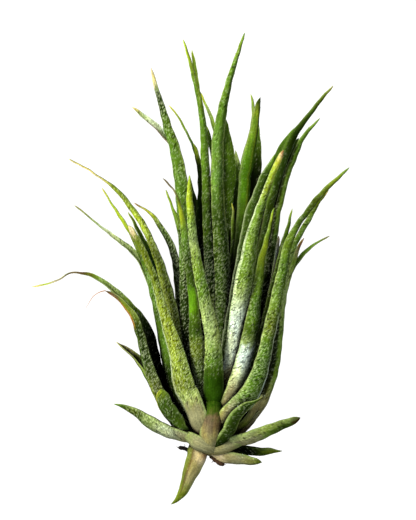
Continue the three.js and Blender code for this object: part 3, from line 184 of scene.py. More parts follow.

# ---- the leaves

# Each leaf is a paragraph: its name, and lists parted by ";", whose rows are parted by ",".
# turn: the side that its convex back faces, as an angle round Y, 0 up to the viewer, 90 to the
#   right and 180 down, and a second angle by which it dips towards the base.
# rows: points of its centreline from its base to its tip, x y z and its width as seen from above.
#   z is its depth before the rosette opens by the fan above.
# zones: from the base to the tip, height, tone and how dense the scales are, 0 if it isn't given.
#   The near-black zones are painted shade on leaves that lie deep in the rosette or behind others.
# bands: along the leaf, from and to across it (-1 left edge, 1 right edge), tone, strength and,
#   where it is short, from and to in height. The dark green and near-black bands along one side
#   are painted shade on the side turned from the lamp and painted shadows of neighbouring leaves;
#   the sage, frost and silver bands at an edge are the edge's paler skin with a painted highlight.
# spots: x y, radius, tone, strength. hair: x y z along a long dry thread.
# fuzz: the furry edge, hairs for each mm, from and to in height.
# The order is from the outermost leaves to the inner ones.
LEAVES = """
basal_leaf_right_1: turn 30 10;
rows 1.6 0 7.6 2.4, 2.9 1.9 9.2 2.9, 4.3 3.75 10.6 3.2, 5.3 5.75 11.9 3.3, 6.5 8 12.9 3,
8.75 10.25 13.7 2.2, 11 11.4 14.2 0.9, 13.5 12.75 14.6 0.6;
zones 0 forest 0.1, 2 forest 0.3, 5 moss 0.4, 8 moss 0.3, 10.5 forest 0.4, 12.2 moss 0.2, 12.75 umber;
bands 0.75 1 sage 0.7, -1 -0.85 sage 0.5, -0.6 0.1 forest 0.4

basal_leaf_left_2: turn -40 15;
rows -4.6 2.2 4.6 2.6, -7.25 4.75 7 3.3, -8.25 6.5 8.2 3.8, -9.6 8.5 9.2 4, -10.9 10.4 10 3.9,
-11.6 12.5 10.6 3.5, -12 13.9 10.9 2.4, -12.2 14.6 11 1;
zones 2.2 sage 0.1, 5 leaf 0.3, 8.5 moss 0.5, 12 moss 0.6, 14 olive 0.3, 14.6 grass 0.1;
bands -1 -0.75 acid 0.85, -1 -0.75 rust 0.6 2 6, 0.3 1 moss 0.6

basal_leaf_right_2: turn 50 50;
rows 3.4 0.6 5.8 2.8, 6.25 1.5 7 3.3, 9 2.2 7.8 3.6, 11.5 3 8.3 3.5, 13.5 3.8 8.5 3.2, 16 4.8 8.6 2.8,
18.5 5.8 8.6 2.4, 21 6.8 8.6 1.9, 22.5 7.4 8.6 1;
zones 0.6 ash 0.1, 1.6 ash 0.3, 3 ash 0.5, 4.2 fern 0.4, 5.6 moss 0.4, 6.6 leaf 0.2, 7 umber, 7.4 umber;
bands -1 -0.7 sage 0.5, 0.5 1 moss 0.5

basal_leaf_right_4: turn 25 55;
rows 0.5 -0.7 4.9 2.6, 2.1 -1.7 5.2 3, 4 -2.4 5.5 3.2, 6.25 -2.85 5.8 3.1, 8.75 -3.15 5.9 2.6,
10.5 -3.4 5.9 2.1, 12 -3.65 5.9 1.5, 12.9 -3.8 5.9 0.9;
zones -1 cream, -2.2 cream 0.05, -2.7 khaki 0.1, -3.1 ash 0.3, -3.8 olive 0.3, -4.1 olive 0.1

basal_leaf_left_1: turn -50 50;
rows -3.4 2.2 5.6 2.2, -6.5 2.6 6.3 2.8, -10 3.75 6.7 3.2, -12.5 4.9 6.9 3.3, -15 6.3 7 3.3, -17.5 8 7 2.4,
-20 9.5 7 1.65, -22.5 10.5 7 0.8, -24 10.75 7 0.6;
zones 2.2 khaki, 2.9 ash 0.5, 4.4 frost 0.7, 6.2 sage 0.9, 8 moss 0.9, 9.2 olive 0.7, 10.2 moss 0.4,
10.75 leaf;
bands -0.4 0.3 moss 0.5 4 10

basal_leaf_down: turn -15 0;
rows -2.4 1.2 4.6 4.8, -3 -0.75 4.6 5.2, -3.6 -3.25 4.2 4.8, -4.6 -5.75 3.6 4.3, -5.6 -8.25 3 3.3,
-6.6 -10.75 2.4 2.6, -7.4 -12.25 2 1.9, -8.4 -13.4 1.7 1.1, -9.75 -14.4 1.4 0.6;
zones 1.2 cream, -1 khaki 0.1, -4 khaki 0.1, -8 khaki 0.1, -12 olive 0.2, -14.4 olive;
bands 0.5 1 olive 0.8 -15 0, 0.15 0.42 umber 0.75 -12 0, -1 -0.5 khaki 0.5 -8 2;
spots -1.9 -2.4 1.8 cream 0.95, -1.4 -2.3 0.5 rust 0.8

basal_leaf_right_3: turn 60 60;
rows 4.9 -0.3 1.6 2, 7.5 -0.6 2.2 2.3, 10 -0.9 2.6 2.4, 12.5 -1.25 2.8 2.2, 15 -1 2.8 1.7,
16.5 -0.95 2.8 0.9, 18.1 -1 2.8 0.6;
zones -0.3 ash 0.1, -0.6 moss 0.2, -1 forest 0.4, -1.25 moss 0.2, -1 olive

basal_leaf_back: turn 180 60;
rows 1 1.6 -4.9 3.2, 1.5 2.6 -8.8 3.7, 2 4.2 -13 3.8, 2.4 6.8 -17 3.6, 2.7 9.8 -19.8 3.2,
2.9 13.2 -20.75 2.7, 3.1 16.4 -20.6 1.9, 3.2 19 -20 0.8;
zones 1.6 bark, 4.2 khaki 0.1, 10 olive 0.3, 19 khaki 0.1

outer_leaf_left_1: turn -35 0;
rows -1.6 3.4 7.4 3.8, -2.5 5.75 8.6 4.8, -3.4 8.75 9.6 5.6, -4.6 11.75 10.2 6, -6.1 14.5 10.4 5.8,
-7 18 10.4 5.1, -8 22.5 10.3 4.2, -9.3 27 10.1 3.7, -10.9 31.75 9.9 3, -12.4 36.75 9.7 2.25,
-13.75 41.75 9.5 1.9, -15.4 46 9.4 1.8, -17.2 50 9.4 1.8, -18.9 53 9.4 1.6, -20.2 55.3 9.4 1.1;
zones 3.5 bark 0.05, 6 ash, 8.5 ash 0.1, 10.5 ash 0.35, 13 sage 0.9, 16 olive 0.95, 22 grass 0.9,
30 grass 0.8, 36 grass 0.75, 42 olive 0.6, 48 olive 0.4, 52.3 olive 0.3, 53.4 khaki 0.1, 54.3 cream,
54.9 cream;
bands -1 -0.75 frost 0.7 6 40, 0.35 1 moss 0.35 14 50;
fuzz -1 2.6 8 44

outer_leaf_front_1: turn -5 0;
rows 0.5 3 5.8 4.6, 0.75 6 7.4 5.2, 0.8 9.5 8.7 5.4, 0.9 14.25 10.2 5.2, 0.9 20 11.6 4.8,
0.7 26.75 12.8 3.9, -0.2 31.75 13.4 3.6, -1.3 36.75 13.9 3.1, -2.6 43 14.3 2.8, -3.9 50 14.7 2.3,
-4.7 57 15.1 2, -5.1 62.5 15.5 1.5, -5.1 66 15.8 0.9, -5 67.75 16 0.6;
zones 3 bark 0.05, 6 umber 0.1, 8.5 olive 0.1, 11 emerald, 13.5 emerald, 17.5 emerald, 19.5 moss 0.4,
22 leaf 0.7, 28 sage 0.7, 34 sage 0.8, 39 leaf 0.8, 46 fern 0.7, 52 sage 0.7, 57 fern 0.6, 61 lime 0.5,
67.75 lime 0.3

outer_leaf_front_5: turn 40 0;
rows 1.4 3.6 7.4 3.6, 3.2 6.4 9 4.6, 6 9.4 10.3 5, 8.8 12 11.2 5.2, 11 15.5 11.7 4.7, 12.7 20 11.9 4,
13.9 25 11.8 3.4, 15 30 11.5 3.3, 16.3 36 11.1 3, 17.4 41 10.7 2.8, 18.3 45.5 10.4 2.4, 19.4 50.5 10.1 2.2,
21.3 54.7 9.9 1.6, 23.7 58 9.8 1.4, 26.2 61.4 9.7 1.5, 29 64.5 9.6 1.3, 32.3 67.6 9.5 0.9,
34.75 69.75 9.5 0.6;
zones 3.75 ash 0.1, 7 khaki 0.2, 9.5 ash 0.5, 12 leaf 0.8, 20 leaf 0.85, 26 leaf 0.8, 30.5 olive 0.7,
36.75 fern 0.7, 44.25 leaf 0.6, 51.75 fern 0.4, 58 moss 0.4, 65.5 olive 0.1, 69.75 fern;
bands 0.65 1 silver 0.75 12 33, 0.3 0.55 forest 0.45 8 60

outer_leaf_left_2: turn -55 10;
rows -4.9 3.4 3 3, -9.5 8.75 5 3.2, -12.4 13 5.8 3.2, -14.6 18 6.2 2.9, -16.2 23.5 6.4 2.5,
-17.4 28 6.5 2.3, -18.6 32 6.5 2.1, -20.4 34.6 6.4 1.5, -22.2 36.5 6.3 1.2, -24.3 38.3 6.2 0.95,
-26.1 39 6.2 0.6;
zones 3.5 bark 0.1, 8 khaki 0.3, 12 olive 0.7, 16 olive 0.9, 22 moss 0.9, 27 moss 0.7, 30 moss 0.4,
33 olive 0.4, 36.5 olive 0.1, 38 bark, 39 umber;
bands -1 -0.65 sage 0.5 5 30, 0.2 1 ink 0.6 8 32, -1 0.1 rust 0.85 30.5 39;
hair -26.1 39.1 6.2, -27.5 38.75 6.4, -28.75 38 6.6, -29.5 37.25 6.7, -30.5 35.6 6.8, -31 34.75 6.8

outer_leaf_right_1: turn 60 0;
rows 4.2 3 1.8 2.6, 8.6 6.4 3 3, 11.75 9.25 3.6 2.8, 14.4 14 4 2.4, 16 19.25 4.2 2.3, 16.9 25 4.2 2.3,
17.4 31 4.2 2.2, 18.1 37 4.2 2.1, 19.1 41.75 4.2 2, 20.6 46 4.2 1.6, 22.2 50 4.2 0.9, 22.9 51.4 4.2 0.75,
23.5 52.25 4.2 0.6;
zones 3 ash 0.1, 8 khaki 0.2, 11.75 ash 0.4, 18 fern 0.6, 26.75 fern 0.6, 36.75 sage 0.6, 43 sage 0.6,
47 fern 0.3, 49.5 khaki 0.1, 51 umber, 52.25 rust;
bands 0.4 1 moss 0.3 8 44, -1 -0.6 ink 0.95 12 38

outer_leaf_front_4: turn 30 0;
rows 2.6 5 6.6 3.8, 4.3 10 8.7 4.2, 6.2 15 10 4.2, 8.2 21 10.8 4.1, 9.7 26.75 11 4.1, 10.6 31.75 10.9 3.7,
11.3 36.75 10.7 2.9, 12.1 41.75 10.4 2.4, 12.9 46.9 10.1 1.8, 13.5 49.5 9.9 1.5, 14.1 52 9.8 1.2,
14.9 55 9.7 0.9, 15.9 59.75 9.6 0.6;
zones 5 bark 0.05, 8.75 khaki 0.1, 12.25 khaki 0.2, 15 ash 0.5, 18 frost 0.8, 21.25 silver 0.8,
24.5 silver 0.8, 26.5 sage 0.6, 29 moss 0.4, 33 leaf 0.8, 37.5 leaf 0.6, 41.5 fern 0.6, 44.5 fern 0.3,
47 lime 0.1, 51 lime, 53 fern 0.3, 56 olive 0.3, 58 lime, 59.75 fern;
bands 0.55 1 moss 0.6

outer_leaf_left_3: turn -115 10;
rows -4.9 5 0.6 3, -9.5 11.25 1.6 3.3, -12 15.5 2.1 3.4, -13.5 19.25 2.4 3.4, -14.3 23 2.6 3.3,
-15 27 2.7 3, -16.6 30.8 2.7 2.5, -19.25 34.5 2.7 2, -21.25 36.75 2.7 1.7, -23.75 39.1 2.7 1.5,
-26.25 41 2.7 1.25, -28.75 42.6 2.7 1.1, -30.75 43.3 2.7 0.9, -32.5 43.5 2.7 0.7, -34.5 43.6 2.7 0.6,
-36 43 2.7 0.6, -37.5 42 2.7 0.6, -40 41 2.7 0.6, -44.5 40 2.7 0.6;
zones 5 ink, 21 ink 0.1, 27.3 forest 0.3, 33 moss 0.5, 36.5 fern 0.6, 40 sage 0.6, 42.5 fern 0.3,
43.4 umber, 43 bark, 42.5 cream, 41.2 cream, 40.6 lime, 40.2 straw

outer_leaf_front_3: turn 15 0;
rows 2.4 8 4.6 3.6, 3.6 13 7 4, 5 19 8.6 4.3, 6 25.5 9.8 4.4, 6.8 31.75 10.9 4.3, 7.6 36.75 11.7 4.3,
8.4 41.75 12.3 4.4, 9.4 46.75 12.8 3.9, 10.25 51.75 13.2 3.3, 11.5 56.75 13.6 2.5, 13.2 61.75 13.9 1.95,
15 66.75 14.2 1.65, 17.1 71.75 14.6 1.4, 18.25 74 14.8 0.7;
zones 8 bark 0.05, 11 bark 0.1, 14 khaki 0.2, 18.75 ash 0.4, 22 silver 0.6, 25.5 silver 0.9, 32 silver 0.95,
35.5 frost 0.8, 38.5 sage 0.8, 42 fern 0.8, 50.5 fern 0.7, 55.5 fern 0.6, 60.5 fern 0.6, 65.5 grass 0.6,
69 lime 0.5, 72 acid 0.3, 73.4 cream, 74 rust;
bands -1 -0.85 frost 0.6 36 66, 0.5 1 moss 0.45 34 66

outer_leaf_front_2: turn -20 0;
rows -1.2 5.5 5.3 3.4, -1.8 11 7 3.7, -2.4 17 8.4 3.8, -2.9 21.75 9.3 3.8, -3.4 26.75 10 3.6,
-3.8 31.75 10.5 2.9, -4.2 37 10.9 2.3, -4.9 42 11.2 2, -5.6 47 11.4 2, -6.2 52 11.6 2, -6.8 56.75 11.8 1.4,
-7.6 60.5 11.9 0.9, -8.75 63.75 12 0.6, -10.3 65.7 12 0.6, -11.75 67 12 0.6;
zones 5.5 bark 0.1, 11.75 olive 0.8, 16 moss 0.9, 19.25 moss 0.9, 25.5 olive 0.8, 28 moss 0.6,
29.5 moss 0.3, 31.5 moss 0.3, 33 leaf 0.5, 35 bright, 39 bright, 41.5 moss 0.3, 44.5 moss 0.6, 48 moss 0.8,
52 leaf 0.6, 55.5 fern 0.3, 57.5 grass 0.1, 60 grass 0.1, 62.5 olive, 64 khaki, 65.5 bark, 67 bark

outer_leaf_left_5: turn -55 0;
rows -3 6 2.6 3, -5.2 14 4.2 3.2, -7 22 5 3.1, -8.2 29 5.4 2.8, -9.3 34.5 5.6 2.6, -11 40.5 5.7 2.7,
-12.9 46.75 5.7 2.2, -14.8 51.5 5.7 1.8, -16.4 54.8 5.7 1.75, -18.75 58.6 5.7 1.5, -21.25 61.9 5.7 1.3,
-23.75 64.6 5.7 1.05, -26.25 66.6 5.7 0.7, -30.75 69.5 5.7 0.6, -35.25 72 5.7 0.6;
zones 6 olive 0.4, 16.75 olive 0.7, 25.5 grass 0.9, 34.25 olive 0.9, 41 grass 0.85, 50 grass 0.8,
58 lime 0.7, 63 grass 0.6, 65.75 grass 0.4, 67.25 straw 0.1, 72 straw;
bands 0.7 1 moss 0.5

outer_leaf_left_6: turn -60 0;
rows -3.6 4.6 1.2 3.4, -6.8 11 2.4 3.6, -9.2 16 2.8 3.3, -10.6 21 2.9 3, -11.6 26.75 2.9 2.7,
-12.6 31.75 2.8 2.4, -13.6 37 2.8 2.2, -14.9 42 2.7 2, -16.4 46.5 2.7 1.9, -18.2 50.5 2.7 1.5,
-20.4 54.4 2.7 1.05, -22.5 57.75 2.7 0.9, -25 61.4 2.7 0.65, -27 64.75 2.7 0.6;
zones 4.75 bark 0.2, 9 olive 0.4, 14.25 moss 0.5, 18.75 forest 0.5, 21.25 moss 0.3, 24 leaf 0.3,
29 leaf 0.3, 33 moss 0.4, 37 leaf 0.5, 44 leaf 0.6, 48 moss 0.4, 52 olive 0.3, 56.25 lime 0.1,
61.75 lime 0.05, 64.75 acid

outer_leaf_left_4: turn -115 20;
rows -4.6 3 -1.6 3, -9.5 8 -2.8 3.2, -12.5 13 -3.2 3, -14.5 17 -3.3 2.9, -16 19.5 -3.3 2.7,
-17.5 21.4 -3.3 2.3, -18.75 22.6 -3.2 1.7, -20 23.7 -3.1 1.45, -21.25 24.6 -3 1.15, -22.5 25.5 -3 0.7,
-23.4 26.25 -3 0.6;
zones 3 moss 0.1, 13 moss 0.2, 19.25 leaf 0.3, 21.75 olive 0.4, 23.75 khaki 0.5, 25.5 khaki 0.1,
26.25 straw;
bands -0.5 0.5 ink 0.9

outer_leaf_right_3: turn 50 0;
rows 3.2 5 5 2.4, 8.6 12 7 2.6, 12.4 20 7.6 2.4, 15 28 7.7 2.2, 16.9 35 7.7 2.1, 18.5 42 7.7 1.9,
19.8 47.5 7.7 1.6, 21.3 51 7.7 1.45, 22.7 53.6 7.7 1.4, 24.4 56.6 7.7 1.35, 25.9 59.3 7.7 1.2,
27.6 61.9 7.7 0.95, 29.5 64 7.7 0.6;
zones 5 olive 0.2, 12 sage 0.6, 18 fern 0.7, 27 fern 0.6, 35 sage 0.6, 43 sage 0.6, 51.75 leaf 0.5,
58 fern 0.4, 63 olive 0.1, 64 straw

outer_leaf_right_2: turn 115 0;
rows 4.8 2.8 -1.2 2.6, 9.2 6 -1.5 2.8, 11.6 11 -1.7 2.6, 13.6 17 -1.8 2.4, 15.8 25 -1.9 2.2,
17.2 32.5 -1.9 2, 18.6 39 -1.9 1.7, 20.2 43.8 -1.9 1.4, 21.8 46.4 -1.9 1.2, 23.5 48.4 -1.9 1.05,
25.4 50.1 -1.9 0.85, 27.6 51.5 -1.9 0.65, 30 52.75 -1.9 0.6;
zones 3.5 olive 0.1, 12 moss 0.3, 18 sage 0.4, 33 sage 0.4, 46.25 moss 0.2, 49.25 leaf 0.1, 51.75 fern,
52.75 khaki

outer_leaf_left_7: turn -125 0;
rows -3.6 5.5 -3 2.8, -8 15.5 -3.8 2.8, -11 25 -4 2.6, -12.9 34 -4.1 2.4, -14.6 40.5 -4.1 2.2,
-16.6 45.3 -4.1 1.9, -18.4 48 -4.1 1.6, -20.6 50 -4.1 1.35, -23 51.8 -4.1 1.1, -25.4 53.6 -4.1 0.9,
-27.5 55.25 -4.1 0.7, -30.7 57.8 -4.1 0.6, -34 60.5 -4.1 0.6;
zones 5.5 ink 0.2, 20 forest 0.3, 32 moss 0.4, 40 leaf 0.5, 45.5 sage 0.6, 50.5 sage 0.7, 54.25 frost 0.6,
57.25 sage 0.2, 60.5 khaki

back_leaf_1: turn 180 0;
rows -3.6 5 -4.6 3.6, -6.2 12 -8 4.2, -8.2 20 -11.4 4, -9.9 28 -14.1 3.7, -11.4 35 -16 3.3,
-12.8 41 -16.9 3, -14.1 46 -16.7 2.6, -15 49.6 -15.9 1.5, -15.5 52 -15.3 0.6

back_leaf_2: turn 180 0;
rows 4.4 5 -4.8 3.6, 7.4 12 -8.2 4.2, 10 20 -11.6 4, 12.4 28 -14.2 3.7, 14.6 35 -16 3.3, 16.2 41 -16.9 3,
17.4 46 -16.7 2.6, 18.2 50 -15.9 1.5, 18.7 53 -15.2 0.6

back_leaf_3: turn 180 0;
rows 1 4.5 -5.6 4, 2 12 -9 4.6, 3 22 -11.6 4.4, 4.2 33 -13.3 3.9, 5.6 44 -13.9 3.2, 7.2 54 -13.6 2.4,
8.6 60 -13 1.4, 9 62 -12.8 0.6

back_leaf_4: turn -160 0;
rows -1.6 4 -5.2 3.8, -3 11 -8.6 4.4, -4 20 -11 4.2, -4.6 31 -12.8 3.7, -5 42 -13.5 3, -5 52 -13.4 2.2,
-5 58 -12.9 1.2, -5 60.5 -12.7 0.6

middle_leaf_right_5: turn 55 0;
rows 2.8 8 0.8 2.6, 6.6 18.5 1.6 2.9, 10.6 27.5 2 2.8, 12.7 34 2.1 2.7, 14 40.5 2.2 2.7, 15 47 2.2 2.5,
16.1 53 2.2 1.8, 16.8 58 2.2 1.8, 17.8 62.5 2.2 1.7, 19.1 67.3 2.2 1.6, 20.5 71.2 2.2 1.6,
21.8 74.4 2.2 1.45, 23.1 77 2.2 1.2, 24.7 79.3 2.2 0.95, 26.1 80.7 2.2 0.75, 27.5 82.2 2.2 0.6;
zones 8 forest 0.2, 29.25 forest 0.5, 39.25 moss 0.6, 47 moss 0.6, 53 leaf 0.5, 61 fern 0.4, 68 fern 0.3,
75 leaf 0.3, 78 leaf 0.1, 82 fern;
bands 0.35 1 frost 0.7 50 80, -1 -0.75 ink 0.95 48 76

middle_leaf_right_4: turn 50 0;
rows 2.4 9.5 2.6 2.8, 5.2 20 4.2 3.1, 8 31 5.2 3.1, 10.6 40.5 5.8 2.8, 12.6 48.5 6 2.4, 13.9 54.5 6 2.2,
14.8 59.5 6 2, 15.6 63 6 2, 16.9 67.5 6 2.2, 18.7 73.2 5.9 2.4, 20.3 76.5 5.8 2.1, 21.8 79.25 5.7 1.7,
23.9 81.9 5.6 1.3, 26 84.6 5.5 1.1, 28.2 87.4 5.4 0.9, 30.75 90.25 5.4 0.6;
zones 9.5 forest 0.2, 29.25 forest 0.3, 44.25 moss 0.4, 56.75 moss 0.4, 64.25 moss 0.3, 70.5 moss 0.2,
78 forest 0.1, 84.25 moss, 88.75 olive, 90.25 khaki;
bands 0.75 1 frost 0.6 60 88, -1 -0.8 leaf 0.5 60 80

middle_leaf_right_2: turn 45 0;
rows 3 6 3.4 2.2, 7.6 14.5 4.8 2.4, 11.4 22.5 5.2 2.3, 14 32 5.3 2.1, 16 41 5.3 1.7, 17.6 47.5 5.3 1.4,
18.9 53 5.3 1.1, 19.6 55.6 5.3 0.9, 20.2 58 5.3 0.7, 20.5 59.5 5.3 0.6;
zones 6 forest 0.2, 29.25 forest 0.5, 41.75 moss 0.4, 51.75 moss 0.2, 56.25 leaf 0.1, 58.75 fern, 59.5 lime

middle_leaf_right_6: turn 50 0;
rows 7.6 15 3.7 1.8, 11.6 24 3.9 1.8, 14.3 33 4 1.6, 15.6 41 4 1.3, 16.3 46 4 1.1, 16.8 49.5 4 1,
17.1 52.75 4 0.8;
zones 15 cream 0.1, 34 cream 0.2, 49 silver, 52.75 cream

middle_leaf_left_2: turn -30 0;
rows -2.2 7.5 3.8 3, -3.6 15 5.8 3, -4.8 22 7 3, -5.6 28 7.7 2.9, -6.1 34 8.1 2.7, -6.4 41.75 8.4 2.4,
-6.6 47 8.6 2.1, -7.1 52.5 8.7 1.7, -8.2 56.75 8.8 1.3, -9.2 59.4 8.8 0.8, -10.1 61.75 8.8 0.7,
-11 64.25 8.8 0.6;
zones 7.5 ink 0.3, 26.75 ink 0.4, 36.75 forest 0.6, 43 moss 0.8, 48 leaf 0.8, 53 moss 0.7, 57.25 fern 0.3,
60.5 fern, 64.25 lime;
bands 0.3 1 forest 0.5 30 56

middle_leaf_left_3: turn -50 0;
rows -2.2 9 1.6 2.4, -4.6 18 1.9 2.6, -6.4 27 2 2.5, -7.4 35 2 2.2, -8.1 42.5 2 2, -8.7 47 2 1.95,
-9.8 50.6 2 1.75, -11.3 53.4 2 1.5, -13 56 2 1.25, -14.7 58.2 2 0.9, -16.5 59.6 2 0.65, -19 61 2 0.6;
zones 9 ink 0.3, 26.75 ink 0.9, 33 forest 1, 40 forest 1, 48 forest 1, 52 moss 1, 55.5 leaf 0.9,
57.75 lime 0.4, 59.75 acid 0.1, 60.5 straw, 61 rust

middle_leaf_left_4: turn -120 0;
rows -2.8 8 -0.4 2.2, -6.4 18 -0.6 2.4, -9.8 31 -0.6 2, -12.2 40 -0.6 1.6, -14.2 46 -0.6 1.4,
-15.7 49.6 -0.6 1.25, -17.4 53 -0.6 1.1, -19.4 56.9 -0.6 0.75, -20.5 58.75 -0.6 0.6;
zones 8 forest 0.2, 36.75 forest 0.3, 46.25 teal 0.3, 51.75 leaf 0.2, 55.25 fern, 58.75 lime

middle_leaf_right_1: turn 30 0;
rows 1.8 11 3.8 2.6, 3.4 21 5.6 3, 5.2 31 7 3.1, 7 41.75 8.2 3, 8.6 51 8.9 2.8, 10.1 58.75 9.2 2.7,
11.5 62 9.3 2.5, 13 66.5 9.4 2.1, 14.6 69.6 9.4 1.7, 15.6 71.6 9.4 1.1, 16.25 73 9.4 0.6;
zones 11 ink 0.2, 29.25 forest 0.3, 44.25 forest 0.4, 52 moss 0.3, 61.75 moss 0.3, 68 moss 0.3,
71.75 leaf 0.1, 73 leaf;
bands -1 -0.95 frost 0.35

middle_leaf_right_3: turn 125 0;
rows 2.2 10 -0.6 2.2, 5.4 27 -1.4 2.6, 8.6 42 -1.8 2.6, 11.4 54.5 -2 2.4, 13.8 63.5 -2 2.1,
15.6 69.4 -2 1.8, 16.8 72.8 -2 1.6, 18 75.3 -2 1.2, 19.6 77.7 -2 0.9, 21.5 80 -2 0.6;
zones 10 forest 0.1, 36.75 ink 0.1, 58 ink 0.1, 64 forest 0.1, 68 moss 0.1, 76.75 leaf, 80 fern

back_leaf_5: turn 150 0;
rows 2.8 8 -6.2 3.2, 5.2 18 -8.6 3.6, 7.8 30 -10.2 3.4, 10 42 -11 3, 12 53 -11.2 2.4, 13.6 60.5 -11 1.3,
14 63 -10.9 0.6

back_leaf_6: turn -160 0;
rows -1.6 8 -5.6 3, -2.6 18 -8 3.4, -3.4 30 -9.6 3.2, -3.8 42 -10.3 3, -3.8 53 -10.5 2.8, -4 60 -10.4 2.2,
-4.6 63.5 -10.3 1.5, -5 66 -10.2 1, -5.2 68 -10.2 0.6;
zones 8 bark, 16 forest 0.3, 35 ink 0.2, 62 ink 0.1, 68 forest

back_leaf_9: turn -140 0;
rows -3.4 8 -4.4 2.8, -6.6 18 -6.8 3.2, -8.8 29 -8.2 3, -10.6 38 -8.8 2.6, -12.4 45 -9 2, -13.6 49.5 -9 1.1,
-14 51.5 -9 0.6

back_leaf_10: turn 140 0;
rows 4.6 6 -3.8 2.6, 8 14 -6 2.8, 11.4 23 -7.6 2.8, 14 32 -8.4 2.6, 16.2 40.5 -8.6 2.2, 18 47 -8.6 1.5,
18.9 51 -8.6 0.6

middle_leaf_left_1: turn -35 0;
rows -1.2 11 2.4 2.8, -2.6 22 4.4 3.1, -4.2 34 5.4 3.2, -5.6 46 5.8 3.1, -6.6 57 5.8 3.1, -7.1 64.5 5.7 3.3,
-7.7 69.5 5.6 3.2, -8.8 74.5 5.4 2.7, -10.4 79.5 5.2 2.25, -11.65 83.7 5 1.75, -12.9 88 4.8 1.25,
-13.8 91.2 4.7 1, -14.75 94.75 4.6 0.6;
zones 11 ink 0.3, 36.75 forest 0.5, 46 moss 0.6, 55 leaf 0.5, 63 leaf 0.5, 70 leaf 0.5, 78 leaf 0.5,
83.5 moss 0.8, 86.5 forest 1, 89 forest 1, 90.2 sage 0.3, 91 cream, 92.5 straw, 94.75 cream;
bands 0.3 1 moss 0.4 40 84, -1 -0.8 sage 0.5 60 90

middle_leaf_left_5: turn -140 0;
rows -1.2 12 -1.6 2.2, -3.4 28 -3.4 2.6, -5.2 44 -4.4 2.5, -6.6 57 -4.8 2.2, -7.5 67 -5 1.8, -8.4 73 -5 1.7,
-9.8 76.2 -5 1.7, -11.4 78.2 -5 1.6, -13.3 80.2 -5 1.5, -15.4 82 -5 1.35, -17.5 83.6 -5 1,
-19.5 85.25 -5 0.6;
zones 12 forest 0.2, 61.75 moss 0.2, 74 forest 0.5, 78 moss 0.7, 81.5 frost 0.8, 83.5 sage 0.5,
84.6 straw 0.1, 85.25 straw;
bands -1 -0.6 rose 0.8 72 82, 0.6 1 silver 0.6 76 84

back_leaf_7: turn 180 0;
rows 0.8 10 -5.6 3, 2.2 22 -8.2 3.3, 3.2 36 -9.6 3.2, 4 50 -10.2 2.8, 4.4 62 -10.3 2.2, 4.5 71 -10.2 1.5,
4.5 76.5 -10.1 0.6;
zones 10 bark, 20 forest 0.3, 40 ink 0.2, 70 ink, 76.5 forest

back_leaf_8: turn 160 0;
rows 2.4 12 -5 2.6, 6.8 25 -7.2 3, 11 40 -8.4 2.9, 14.4 52 -8.6 2.7, 16.4 60.5 -8.6 2.6, 18.1 67 -8.6 2.4,
20 72.5 -8.5 2.1, 21.3 75.6 -8.4 1.4, 22.3 77.5 -8.4 0.6;
zones 12 bark, 25 forest 0.3, 42 ink 0.2, 72 ink, 77.5 forest

inner_leaf_1: turn 10 0;
rows 1.2 12 3.2 3, 2.4 22 5.2 3.4, 3 31.75 6.6 3.7, 3.25 38 7.2 4, 3.1 44 7.5 4.1, 2.7 50.5 7.6 3.9,
2.2 57 7.5 3.5, 1.85 63.5 7.4 3.25, 1.8 70 7.2 3.1, 2 76.75 6.9 3, 2.7 81.75 6.6 2.6, 3.5 86 6.3 2.2,
4.6 90.7 6 1.7, 5.9 95 5.7 1.35, 7.3 99.4 5.4 0.95, 8.75 103.5 5.2 0.6;
zones 12 ink 0.5, 20 forest 0.9, 30 moss 0.9, 38 moss 0.9, 46 moss 0.9, 52 moss 0.7, 60 moss 0.5,
68 jade 0.4, 76 jade 0.4, 82 leaf 0.4, 88 leaf 0.5, 96 leaf 0.6, 99 fern 0.5, 103.5 fern 0.2;
bands 0.8 1 sage 0.6 45 95, 0.3 0.75 moss 0.5 45 100

inner_leaf_2: turn -20 0;
rows -0.7 11 3.4 2.6, -0.2 22 5.2 2.9, 0.1 34 6.4 2.8, 0 41.75 6.9 2.6, -0.4 49 7.1 2.3, -0.8 58 7.1 2.15,
-1 66.75 7 2.05, -1.3 73.5 6.8 2.1, -1.7 80.5 6.6 1.7, -2.3 84.5 6.4 1.5, -3.2 89.25 6.2 1.3, -4.3 93.3 6 1,
-5.4 97.8 5.8 0.8, -6.75 101.75 5.6 0.6;
zones 11 ink 0.3, 27 moss 0.6, 34 olive 0.8, 40 forest 0.8, 47 forest 0.9, 54 moss 0.5, 62 moss 0.35,
72 leaf 0.35, 81.75 leaf 0.35, 89.25 leaf 0.3, 94.25 fern 0.3, 98 lime 0.1, 101.75 lime;
bands 0.1 1 olive 0.6 84 100, 0.4 1 forest 0.5 44 84

inner_leaf_3: turn 45 0;
rows 1.8 15 1.2 2.2, 4 28 2.4 2.6, 6.2 42 3.2 2.7, 7.5 52 3.6 2.7, 8.2 60 3.8 3, 8.7 67 3.8 3,
9.35 71.75 3.8 3.2, 10.1 75 3.7 2.7, 10.9 78.5 3.6 2.25, 11.3 81.75 3.5 1.9, 11.75 84.25 3.4 1.6,
12.2 86 3.4 1.1, 12.6 87.4 3.4 0.6;
zones 15 ink 0.1, 36.75 ink 0.2, 46 ink 0.2, 53 moss 0.3, 59 leaf 0.2, 64 bright 0.2, 73 bright 0.2,
80 fern 0.2, 82.3 leaf, 83.4 lime, 84.4 olive, 87.4 forest;
bands 0.2 1 forest 0.5 50 83, -0.1 0.1 lime 0.6 55 83

inner_leaf_4: turn 140 0;
rows 1.8 12 -2.6 2.2, 5 28 -4.2 2.6, 8 44 -5 2.8, 10 57 -5.2 2.8, 11.2 66 -5.2 2.6, 11.8 71 -5.1 2.4,
